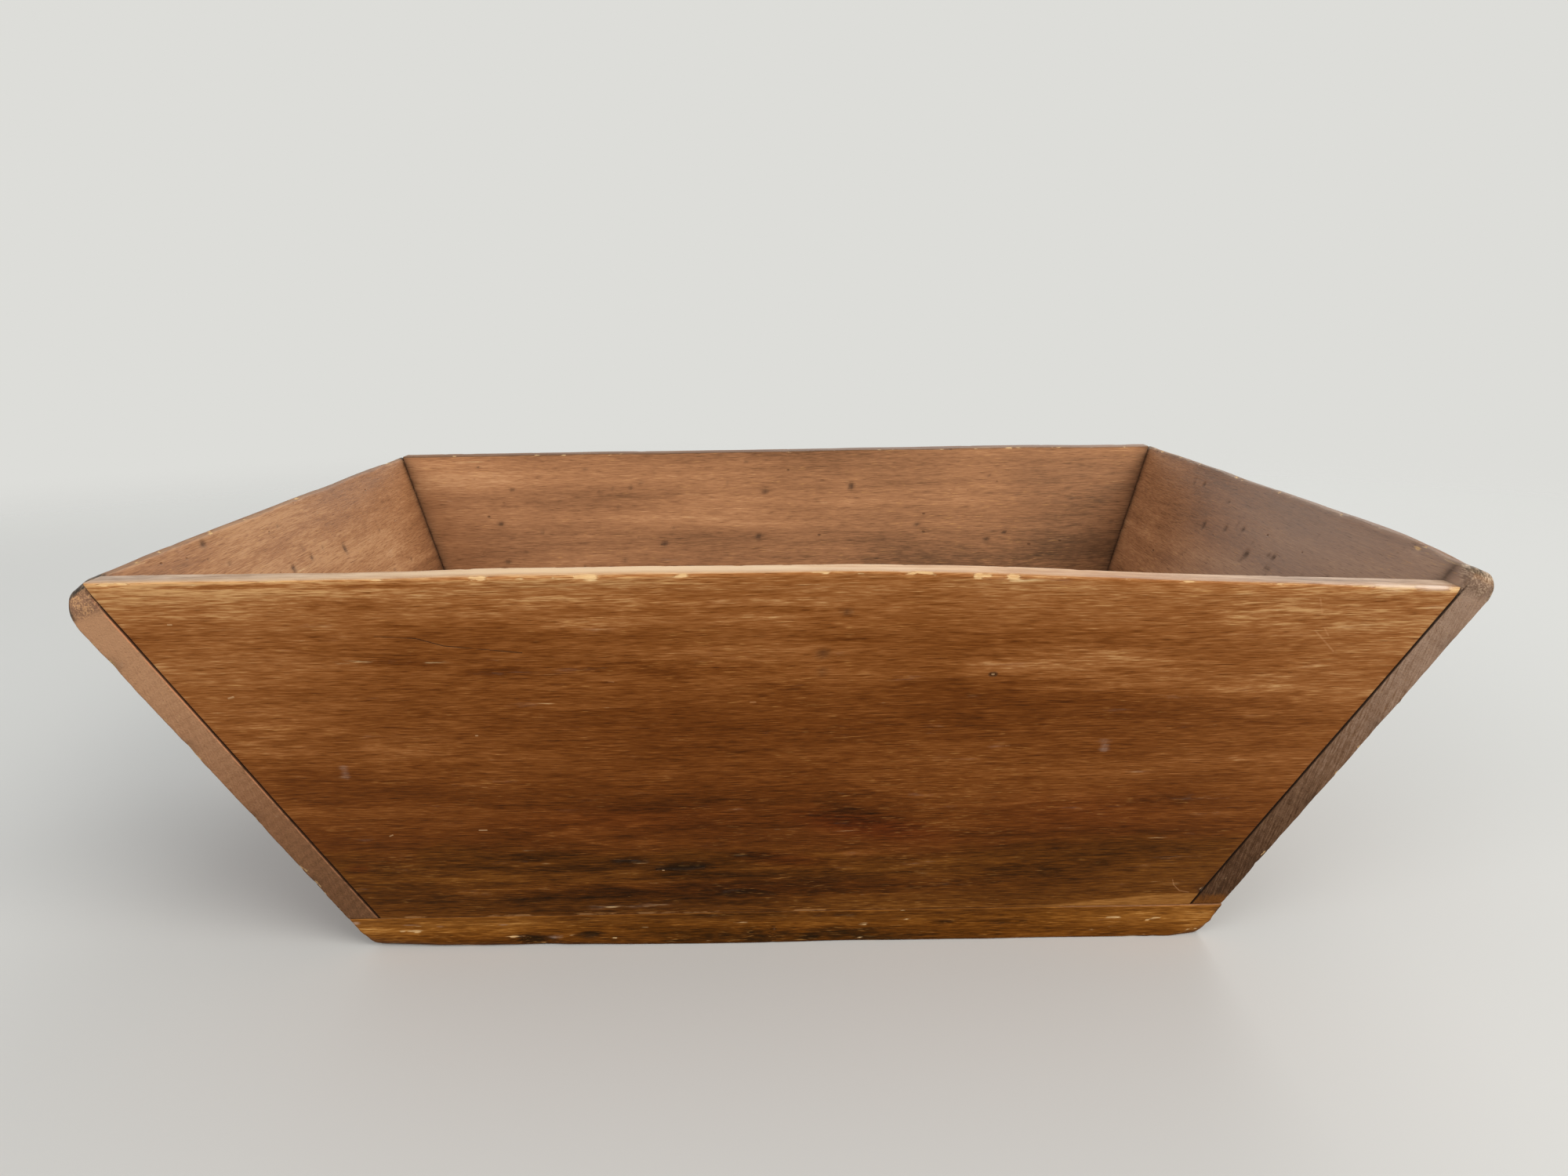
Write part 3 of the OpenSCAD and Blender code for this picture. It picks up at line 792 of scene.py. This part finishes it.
class Wood(Net):
    """Old varnished board: bands, streaks and fibres along the grain, wear, soil and painted corner shade
    by the masks.
    """

    def __init__(self, name, seed, edge, foot):
        super().__init__(bpy.data.materials.new(name))
        self.shift = (seed * 3.1, seed * 1.7, seed * 2.3)
        self.edge = dict(EDGE, **(edge or {}))
        self.foot = foot
        self.board = self.mask("board", "Vector")
        split = self.add("ShaderNodeSeparateXYZ")
        self.put(split.inputs[0], self.board)
        self.along, self.out, self.up = (Number(self, output) for output in split.outputs)

        sway = self.pattern(self.board, (3, 14, 14), 2, 0.5, colour=True)
        sway = self.vector("MULTIPLY", self.vector("SUBTRACT", sway, (0.5, 0.5, 0.5)), (0, 0.01, 0.01))
        grain = self.vector("ADD", self.board, sway)
        self.cloud = self.pattern(self.board, (5, 14, 12), 3, 0.55)
        self.patch = self.pattern(self.board, (38, 110, 110), 4, 0.65)
        self.band = self.pattern(grain, (2.6, 34, 34), 3, 0.6, 0.3)
        self.streak = self.pattern(grain, (13, 170, 170), 4, 0.65)
        self.fibre = self.pattern(grain, (52, 1150, 1150), 3, 0.68)
        self.fleck = self.pattern(grain, (110, 1700, 1700), 1, 0.5)
        self.ragged = (self.streak - 0.5) * 1.5 + (self.patch - 0.5) * 1.5
        self.colour = None

    def pattern(self, place, scale, *how, **more):
        return self.noise(self.stretch(place, scale, self.shift), *how, **more)

    def lay(self, amount, paint):
        """Lays a colour over what is there."""
        self.colour = self.mix(amount, self.colour, paint)

    def torn(self, name, high):
        """A mask of soft patches with ragged borders."""
        mask = self.mask(name)
        return self.ease(mask + self.ragged * self.ease(mask, 0, 0.3), 0.1, high)

    def level(self, tones, broad=1.0):
        """How light each place is, from 0 to 1, before its colour is looked up."""
        node = self.add("ShaderNodeFloatCurve")
        curve = node.mapping.curves[0]
        while len(curve.points) < len(tones):
            curve.points.new(0.5, 0.5)
        for point, place in zip(curve.points, tones):
            point.location = place
        node.mapping.update()
        self.put(node.inputs["Value"], self.math("DIVIDE", self.up, CURVE_TOP))
        value = Number(self, node.outputs[0])
        for part, amount in ((self.cloud, 0.42 * broad), (self.band, 0.52 * broad), (self.streak, 0.34),
                             (self.fibre, 0.84), (self.fleck, 0.46)):
            value = value + (part - 0.5) * amount
        return value

    def faces(self, outside, inside, palette):
        """The varnished outside and the plainer inside."""
        dark, gold = self.torn("dark", 1.1), self.torn("gold", 1.0)
        far = self.math("POWER", self.math("ABSOLUTE", self.along), 2.0) * outside["ends"]
        light = self.level(outside["curve"]) + far + self.along * outside.get("slope", 0)
        light = light + gold * 0.20 + dark * -0.34
        outer = self.ramp(light, palette)
        if self.foot:
            olive_line = self.up + (self.cloud - 0.5) * 0.06 + (self.patch - 0.5) * 0.03
            olive = self.ease(olive_line, 0.064, 0.088, 1, 0) * 0.62
            outer = self.mix(olive, outer, self.ramp(light + 0.05, OLIVE_FRONT))
        light_in = self.level(inside["curve"], 1.5) + self.along * inside["slope"]
        light_in = light_in + gold * 0.16 + dark * -0.24
        inner = self.ramp(light_in, INSIDE)
        # a painted grey sheen laid over the inside, growing along the board between the given places
        if "grey" in inside:
            amount, low, high = inside["grey"]
            inner = self.mix(self.ease(self.along, low, high) * amount, inner, SHEEN_GREY)
        self.inside = self.mask("inside")
        self.colour = self.mix(self.inside, outer, inner)
        self.light = light

    def end_grain(self):
        """Rings and pores seen head on, and the marks of the saw."""
        rings = self.make("ShaderNodeTexWave", {
            "Vector": self.stretch(self.board, (1, 1, 1), (0, 0.060, 0.11)), "Scale": 46.0,
            "Distortion": 2.4, "Detail": 2.0, "Detail Scale": 1.4}, "Fac",
            wave_type="RINGS", rings_direction="X")
        slant = self.stretch(self.board, (1, 1, 1), turn=(math.radians(-18), 0, 0))
        self.pores = self.pattern(self.board, (200, 900, 900), 2, 0.6)
        self.sawn = self.pattern(slant, (60, 900, 60), 3, 0.65)
        self.ends = self.mask("endgrain")
        rise = self.ease(self.math("DIVIDE", self.up, CURVE_TOP), 0, 1, self.edge["low"], self.edge["high"])
        light = rings * 0.05 + self.pores * 0.42 + self.sawn * self.edge["sawn"] - 0.42 + rise
        self.lay(self.ends, self.ramp(light, self.edge["colours"]))

    def specks(self, stained):
        """Red in the stain, painted highlight flecks on the fibres and dark pores between them."""
        if stained:
            red = self.mix(1.0, self.colour, RED, "MULTIPLY")
            self.lay(self.ease(self.mask("red"), 0.1, 0.9) * 0.45, red)
        # painted highlight flecks, only where the varnish is light
        glint_zone = self.ease(self.patch + self.cloud * 0.5, 0.7, 0.9)
        self.lay(self.ease(self.fleck, 0.62, 0.74) * glint_zone * 0.34, PAINTED_GLINT)
        self.lay(self.ease(self.fleck, 0.4, 0.28) * self.ease(self.fibre, 0.55, 0.4) * 0.35, PORE)

    def dirt_and_corner_shade(self):
        """Soil in the hollows and the pits, and soil with painted shade in the inside corners and the
        joints.
        """
        cells = self.add("ShaderNodeTexVoronoi", feature="F1")
        self.put(cells.inputs["Vector"], self.stretch(self.board, (62, 110, 110), self.shift))
        cells.inputs["Scale"].default_value = 1.0
        middle, chance = Number(self, cells.outputs["Distance"]), Number(self, cells.outputs["Color"])
        lucky = self.make("ShaderNodeSeparateColor", {0: chance})
        self.pits = self.ease(middle, 0.05, 0.16, 1, 0) * self.ease(lucky, 0.86, 0.92)
        self.pits = self.pits * self.ease(self.inside, 0.2, 0.8, 0.1, 1)
        self.dirt_and_shade = self.most(self.pits * 0.6, self.mask("pit") * 0.8)
        # the inside corners and joints darken with soil and painted shade
        corner_dirt_and_shade = self.math("MULTIPLY", self.mask("corner_dirt_and_shade"), self.ease(self.patch, 0.1, 0.7, 0.6, 1.2), True)
        self.dirt_and_shade = self.most(self.dirt_and_shade, corner_dirt_and_shade * self.ease(self.inside, 0.1, 0.9, 0, 0.75))
        self.lay(self.dirt_and_shade, DIRT_AND_SHADE)

    def worn(self, rim_colours, rim_amount):
        """The rim, bare wood on worn arrises, and chips."""
        rim, aged = self.mask("rim"), self.mask("aged")
        light = self.streak * 0.5 + self.band * 0.5 + (self.patch - 0.5) * 0.5
        faded, bare_colour = light, BARE
        if self.foot:
            faded = faded + self.ease(self.along, -0.2, -0.12, 0, 0.1)
            faded = faded + self.ease(self.along, -0.04, 0.13, 0, -0.2)
        rim_colour = self.ramp(faded, rim_colours)
        if self.foot:
            old = self.ramp(light + (self.patch - 0.5) * 0.4, AGED_RIM)
            rim_colour = self.mix(aged, rim_colour, old)
            bare_colour = self.mix(aged, BARE, AGED_BARE)
        # on the front board the rim colour is worn wood with a painted sheen
        rim_part = self.ease(rim, 0.15, 0.9) * self.ease(self.out, -0.001, -0.01, 0.45, 1)
        self.lay(rim_part * rim_amount, rim_colour)
        worn = self.mask("wear") + (self.patch - 0.5) * 0.8 + (self.streak - 0.5) * 0.5
        self.bare = self.ease(worn, 0.3, 0.75) * (1 - rim * 0.6) * (1 - aged * 0.45)
        self.lay(self.bare * 0.5, bare_colour)
        torn = (self.streak - 0.5) * 1.6 + (self.fibre - 0.5) * 0.9
        self.chip = self.ease(self.mask("chip") + torn, 0.34, 0.6)
        self.lay(self.chip * 0.85, self.ramp(self.fibre, CHIP))
        self.lay(self.ease(self.mask("pale") + self.ragged * 0.4, 0.1, 0.8) * 0.8, PALE)

    def gilded(self):
        """The golden varnish at the foot, and its chipped lower edge."""
        if self.foot:
            gilt = self.ease(self.mask("foot") + (self.patch - 0.5) * 0.5, 0.3, 0.85)
            self.lay(gilt * self.foot, self.ramp(self.light + 0.36, OLIVE_LIGHT))
        if self.edge["foot"]:
            gilt = self.ease(self.mask("foot") + (self.patch + self.sawn - 1) * 1.2, 0.25, 0.95)
            self.lay(gilt * self.edge["foot"], self.ramp(self.fibre * 0.6 + self.patch * 0.3, OLIVE_LIGHT))
        chipped = self.ease(self.mask("low"), 0.74, 0.92) * self.ease(self.patch, 0.54, 0.62)
        self.lay(chipped * 0.5, CHIPPED)

    def joints(self, pale, stained):
        """The line of each joint, a pale line of chipped wood and painted highlight beside it, and iron
        stain round the nails.
        """
        seam = self.mask("seam")
        if pale:
            # the pale line beside the joint: chipped wood and painted highlight
            line = self.ease(seam, 0.12, 0.3) * self.ease(self.patch, 0.36, 0.52)
            self.lay(line * self.ease(self.up, 0.05, 0.26, 0.35, 1) * pale, JOINT_CHIP_AND_GLINT)
        self.lay(self.ease(seam, 0.42, 0.72) * 0.9, SEAM)
        if not stained:
            rust = self.mask("rust") * self.ease(self.patch, 0.2, 0.7, 0.5, 1)
            self.lay(rust * 0.75, RUST)

    def handled(self):
        """Tips handled for a century are grey and smooth."""
        mottle = self.pores + self.patch - 0.5
        tip = self.ease(self.mask("tip") + (self.patch - 0.5), 0.3, 0.9) * 0.75
        self.lay(tip * self.edge["tip"], self.ramp(mottle, self.edge["tip_colours"]))
        hem = self.ease(self.mask("tip_edge") + (self.patch - 0.5) * 0.8, 0.25, 0.75)
        self.lay(hem * self.edge["tip"], self.ramp(mottle, self.edge["hem_colours"]))

    def marked(self, marks):
        """Single cracks, scratches and specks on the outer face. Gives how deep the cracks go."""
        height = None
        flat = self.vector("MULTIPLY", self.board, (1, 0, 1))
        shown = self.ease(self.out, -0.004, -0.001) * self.ease(self.fibre, 0.36, 0.52)
        for kind, width, places in marks:
            line = None
            for start, end in zip(places[:-1], places[1:]):
                one = self.stroke(flat, start, end, width)
                line = one if line is None else self.most(line, one)
            line = line * shown
            amount, paint = MARK_KINDS[kind]
            self.lay(line * amount, paint)
            if kind == "crack":
                height = line if height is None else self.most(height, line)
        return height

    def relief(self, cracks):
        fine = self.fibre * 0.55 + self.fleck * 0.25 + self.streak * 0.6
        normal = self.bump(fine, 0.00022)
        normal = self.bump(self.pattern(self.board, (240, 500, 500), 2, 0.5), 0.0001, normal)
        normal = self.bump((self.sawn * 0.7 + self.pores * 0.5) * self.ends, 0.0007, normal)
        deep = self.most(self.pits, self.chip * 0.35)
        if cracks is not None:
            deep = self.most(deep, cracks)
        return self.bump(1 - deep, 0.0006, normal)

    def gloss(self):
        """Varnish: shinier where it is whole, dull where it is worn, soiled or in the painted corner shade.
        """
        rough = self.ease(self.cloud + (self.streak - 0.5) * 0.6, 0.2, 0.8, 0.36, 0.52)
        rough = rough + self.ends * 0.16 + self.most(self.bare, self.chip) * 0.2
        return rough + self.dirt_and_shade * 0.12


def wood(name, seed, outside, inside, rim_colours, rim_amount, joint_chip_and_glint=0.0, marks=(), stained=False,
         edge=None, palette=OUTSIDE, foot=0.0):
    """One board's material. The long boards are stained, the others have iron stain at their nails."""
    net = Wood(name, seed, edge, foot)
    net.faces(outside, inside, palette)
    net.end_grain()
    net.specks(stained)
    net.dirt_and_corner_shade()
    net.worn(rim_colours, rim_amount)
    net.gilded()
    net.joints(joint_chip_and_glint, stained)
    if net.edge["tip"]:
        net.handled()
    cracks = net.marked(marks)
    return net.surface({"Base Color": net.colour, "Roughness": net.gloss(), "Normal": net.relief(cracks),
                        "Specular IOR Level": 0.24, "Specular Tint": (1.0, 0.80, 0.56, 1.0)})


def iron():
    """Hand-made nail heads, brown with rust and hammered."""
    net = Net(bpy.data.materials.new("rusty_iron"))
    place = net.make("ShaderNodeTexCoord", {}, "Object")
    broad = net.noise(net.stretch(place, (260, 260, 260)), 4, 0.6)
    fine = net.noise(net.stretch(place, (1500, 1500, 1500)), 3, 0.6)
    mixed = broad * 0.7 + fine * 0.3
    colour = net.ramp(mixed, [(0.25, (26, 20, 18)), (0.45, (58, 42, 34)), (0.6, (92, 54, 34)),
                              (0.8, (134, 78, 46))])
    return net.surface({"Base Color": colour, "Roughness": net.ease(broad, 0.3, 0.7, 0.50, 0.82),
                        "Metallic": net.ease(broad, 0.35, 0.65, 0.75, 0.15),
                        "Normal": net.bump(mixed, 0.0006)})


FRONT_MARKS = [
    ("crack", 0.42, [(-244, 267), (-220, 265), (-204, 259), (-158, 253)]),
    ("light", 0.8, [(-363, 278), (-361, 278)]), ("light", 1, [(-343, 221), (-340, 222)]),
    ("light", 0.7, [(-268, 98), (-266, 99)]), ("light", 0.7, [(-207, 102), (-202, 102)]),
    ("light", 0.7, [(-196, 187), (-195, 187)]), ("fine", 0.8, [(-108, 229), (-105, 229)]),
    ("fine", 0.8, [(-21, 211), (-18, 211)]), ("fine", 0.9, [(143, 171), (145, 171)]),
    ("crack", 2.6, [(128, 230), (130, 230)]), ("light", 1, [(128.6, 230.4), (129.4, 230.4)]),
    ("fine", 0.8, [(318, 284), (322, 273)]), ("fine", 0.8, [(321, 260), (336, 244)]),
    ("fine", 0.7, [(326, 262), (330, 256)]), ("fine", 0.6, [(274, 41), (276, 35), (281, 29), (288, 27)]),
    ("light", 2.2, [(297, 30), (299, 29)]), ("crack", 1.4, [(-90, 60), (-80, 61), (-70, 60), (-57, 62)]),
    ("light", 0.6, [(-86, 59), (-85, 59)])]
BACK_MARKS = [
    ("fine", 0.8, [(-120, 210), (-90, 196)]), ("light", 1, [(60, 150), (64, 151)]),
    ("crack", 0.8, [(200, 96), (260, 94), (310, 97)]), ("fine", 0.9, [(-300, 120), (-270, 116)]),
    ("light", 1.5, [(-210, 260), (-207, 261)])]
END_MARKS = [
    ("fine", 0.8, [(-60, 180), (-30, 190)]), ("light", 1, [(40, 120), (43, 121)]),
    ("crack", 0.8, [(70, 60), (120, 62)])]

WOODS = {
    "front_wood": wood(
        "front_board_wood", 1,
        # darker towards the foot: partly the board's own tone, partly painted shade of the face leaning
        # down
        {"curve": [(0, 0.33), (0.05, 0.32), (0.085, 0.23), (0.13, 0.21), (0.22, 0.27), (0.42, 0.39),
                   (0.62, 0.5), (0.82, 0.64), (1, 0.78)], "ends": 1.2, "slope": 0.08},
        {"curve": [(0, 0.3), (0.5, 0.45), (1, 0.6)], "slope": 0},
        # the pale front rim: worn wood with a painted sheen
        WORN_RIM_AND_SHEEN, 0.92, marks=FRONT_MARKS, stained=True, foot=0.8),
    "back_wood": wood(
        "back_board_wood", 2,
        {"curve": [(0, 0.24), (0.3, 0.34), (0.7, 0.5), (1, 0.62)], "ends": 0.5},
        {"curve": [(0, 0.26), (0.35, 0.36), (0.6, 0.48), (0.8, 0.62), (1, 0.52)], "slope": -0.26},
        DARK_RIM, 0.7, marks=BACK_MARKS, stained=True),
    "left_wood": wood(
        "left_end_wood", 3,
        {"curve": [(0, 0.22), (0.3, 0.34), (0.7, 0.52), (1, 0.62)], "ends": 0.6},
        {"curve": [(0, 0.32), (0.4, 0.5), (0.75, 0.74), (1, 0.72)], "slope": -0.3},
        GREY_RIM, 0.55, joint_chip_and_glint=0.9, marks=END_MARKS,
        # the left end grain is lighter overall and towards its top: partly its own tone, partly a painted
        # sheen
        edge={"low": 0.43, "high": 1.12, "sawn": 0.28, "tip": 0.95,
              "tip_colours": [(0.3, (66, 48, 40)), (0.5, (128, 94, 76)), (0.66, (206, 158, 112))],
              "hem_colours": [(0.3, (34, 30, 26)), (0.5, (62, 54, 46)), (0.7, (120, 98, 78))],
              "colours": [(0, (60, 36, 20)), (0.3, (100, 68, 44)), (0.6, (148, 104, 72)),
                          (1, (196, 148, 110))]}),
    "right_wood": wood(
        "right_end_wood", 4,
        {"curve": [(0, 0.2), (0.3, 0.32), (0.7, 0.5), (1, 0.6)], "ends": 0.6},
        {"curve": [(0, 0.28), (0.4, 0.46), (0.75, 0.67), (1, 0.64)], "slope": -0.3,
         # this grey is a painted sheen towards the board's front end
         "grey": (0.6, 0.18, -0.1)},
        GREY_RIM, 0.6, marks=END_MARKS,
        edge={"low": 0.04, "high": 0.74, "sawn": 0.85, "tip": 0.85, "foot": 0.8,
              "tip_colours": [(0.3, (70, 50, 36)), (0.5, (122, 96, 76)), (0.66, (186, 160, 134))],
              "hem_colours": [(0.3, (84, 70, 54)), (0.5, (136, 114, 90)), (0.66, (214, 186, 156))],
              "colours": [(0, (42, 24, 12)), (0.3, (84, 56, 36)), (0.6, (128, 96, 72)),
                          (1, (176, 146, 124))]}),
    # the bottom boards: golden outer edges, a dull inside and a bare underside
    "base_wood": wood(
        "base_board_wood", 5,
        {"curve": [(0, 0.28), (0.03, 0.34), (0.06, 0.46), (1, 0.5)], "ends": 1.6},
        {"curve": [(0, 0.3), (0.09, 0.42), (1, 0.5)], "slope": 0},
        GREY_RIM, 0, palette=OLIVE,
        edge={"low": 0.4, "high": 0.9, "colours": [(0, (50, 29, 10)), (0.3, (92, 59, 28)),
                                                   (0.6, (134, 94, 52)), (1, (178, 134, 88))]}),
}

# ---------------------------------------------------------------- the pieces
INNER_PITS = {"along": (-330, 330), "up": (60, 292), "face": -BOARD, "sizes": (0.9, 1.7),
              "depths": (0.3, 0.7)}
END_PITS = dict(INNER_PITS, along=(-215, 215))
heads = {}
for side, place in (("left", LEFT), ("right", RIGHT)):
    heads[side] = nail_heads(f"front_{side}_nails", place) + nail_heads(f"back_{side}_nails", place)
under = {"front": [], "back": []}
DOWN = Place((0, 0, 0), (1, 0, 0), (0, 0, -1), (0, 1, 0))
for node in ("base_front_nails", "base_back_nails", "base_left_nails", "base_right_nails"):
    for a, w, u in nail_heads(node, DOWN):
        under["front" if u < BASE_JOINT else "back"].append(np.array([a, u, -w]))

pieces = {
    "front_board": (long_board(
        "front_board_worn", FRONT, DROP, 11, FRONT_CHIPS,
        FRONT_DENTS + random_dents(5, 26, **INNER_PITS), FRONT_AGED, WOODS["front_wood"],
        {"dark": (0, FRONT_DARK), "gold": (0, FRONT_GOLD), "red": (0, FRONT_RED), "pale": (0, FRONT_PALE)}),
        "front_wood"),
    "back_board": (long_board(
        "back_board_worn", BACK, 0.0, 12, BACK_CHIPS,
        BACK_DENTS + random_dents(6, 46, **INNER_PITS), BACK_AGED, WOODS["back_wood"],
        {"dark": (-BOARD, BACK_DARK), "gold": (-BOARD, BACK_GOLD), "red": (0, FRONT_RED),
         "pale": (0, BACK_PALE)}), "back_wood"),
    "left_end_board": (end_board(
        "left_end_board_worn", LEFT, 13, LEFT_DENTS + random_dents(7, 30, **END_PITS),
        WOODS["left_wood"], {"dark": (-BOARD, LEFT_DARK), "gold": (-BOARD, LEFT_GOLD), "pale": (0, [])},
        LEFT_SHAPE, heads["left"]), "left_wood"),
    "right_end_board": (end_board(
        "right_end_board_worn", RIGHT, 14, RIGHT_DENTS + random_dents(8, 60, **END_PITS),
        WOODS["right_wood"], {"dark": (-BOARD, RIGHT_DARK), "gold": (-BOARD, RIGHT_GOLD), "pale": (0, [])},
        RIGHT_SHAPE, heads["right"]), "right_wood"),
    "base_front_board": (base_board(
        "base_front_board_worn", True, 15, BASE_FRONT_DENTS, WOODS["base_wood"], under["front"]),
        "base_wood"),
    "base_back_board": (base_board(
        "base_back_board_worn", False, 16, [], WOODS["base_wood"], under["back"]), "base_wood"),
}
for node, (piece, slot) in pieces.items():
    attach(piece, "root")
    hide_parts(node)

nail_material = iron()
for node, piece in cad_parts.items():
    if node.endswith("_nails"):
        for slot in piece.material_slots:
            slot.material = nail_material


# ---------------------------------------------------------------- floor, light and camera
def camera_only(net, seen, felt):
    """The seen colour where the camera looks straight at it, and the felt one for all other light."""
    return net.mix(net.make("ShaderNodeLightPath", {}, "Is Camera Ray"), felt, seen)


def make_floor():
    """A wide pale disc that fades out far from the box."""
    bpy.ops.mesh.primitive_circle_add(vertices=96, radius=6.0, fill_type="NGON")
    floor = bpy.context.object
    floor.name = "floor"
    net = Net(bpy.data.materials.new("pale_floor"))
    place = net.make("ShaderNodeTexCoord", {}, "Object")
    far = net.ease(net.vector("LENGTH", place, out=1), 1.2, 3.4)
    paint = net.make("ShaderNodeBsdfPrincipled", {
        "Base Color": camera_only(net, tone(222, 221, 216), tone(150, 142, 132)), "Roughness": 0.7,
        "Specular IOR Level": 0.2})
    clear = net.make("ShaderNodeBsdfTransparent", {})
    floor.data.materials.append(net.surface({0: far, 1: paint, 2: clear}, "ShaderNodeMixShader"))


def make_world():
    """Pale where the camera and shiny things look at it, and a soft cool light for all else."""
    net = Net(bpy.data.worlds.new("room"))
    seen = net.make("ShaderNodeBackground", {"Color": tone(221, 221, 217), "Strength": 1.0})
    felt = net.make("ShaderNodeBackground", {"Color": tone(226, 230, 234), "Strength": 0.55})
    direct = net.most(net.make("ShaderNodeLightPath", {}, "Is Camera Ray"),
                      net.make("ShaderNodeLightPath", {}, "Is Glossy Ray"))
    bpy.context.scene.world = net.surface({0: direct, 1: felt, 2: seen}, "ShaderNodeMixShader",
                                          "ShaderNodeOutputWorld")


def stand(thing, side, rise, back, place):
    """Puts a lamp or the camera in its place, turned by its three axes."""
    bpy.context.scene.collection.objects.link(thing)
    rows = [(side[i], rise[i], back[i], place[i]) for i in range(3)]
    thing.matrix_world = Matrix([*rows, (0, 0, 0, 1)])


def make_light(name, place, target, width, height, power, colour):
    lamp = bpy.data.lights.new(name, "AREA")
    lamp.shape = "RECTANGLE"
    lamp.size, lamp.size_y = width, height
    lamp.energy = power
    lamp.color = colour
    thing = bpy.data.objects.new(name, lamp)
    look = np.array(target, float) - np.array(place, float)
    back = -look / np.linalg.norm(look)
    side = np.cross((0, 0, 1), back)
    side = side / np.linalg.norm(side)
    stand(thing, side, np.cross(back, side), back, place)


def make_camera():
    """The camera stands where the photograph was taken from."""
    yaw, pitch, roll = (math.radians(v) for v in (0.49, 13.11, -0.79))
    look = np.array([math.sin(yaw) * math.cos(pitch), math.cos(yaw) * math.cos(pitch), -math.sin(pitch)])
    right = np.array([math.cos(yaw), -math.sin(yaw), 0.0])
    up = np.cross(right, look)
    side = math.cos(roll) * right + math.sin(roll) * up
    rise = -math.sin(roll) * right + math.cos(roll) * up
    data = bpy.data.cameras.new("camera")
    data.sensor_width = 36.0
    data.lens = 27.04
    data.clip_start, data.clip_end = 0.05, 60.0
    camera = bpy.data.objects.new("camera", data)
    stand(camera, side, rise, -look, (-0.0051, -0.9843, 0.4473))
    bpy.context.scene.camera = camera


make_floor()
make_world()
make_light("key", (3.4, -3.8, 3.2), (0, 0, 0.15), 3.6, 2.6, 216.0, (1.0, 0.98, 0.95))
make_light("fill", (-3.8, -4.2, 2.2), (0, 0, 0.15), 3.4, 3.0, 136.0, (0.98, 0.98, 1.0))
make_light("back", (1.8, 3.8, 3.4), (0, 0, 0.15), 3.4, 2.4, 72.0, (1.0, 1.0, 1.0))
make_camera()
bpy.context.scene.view_settings.view_transform = "Standard"
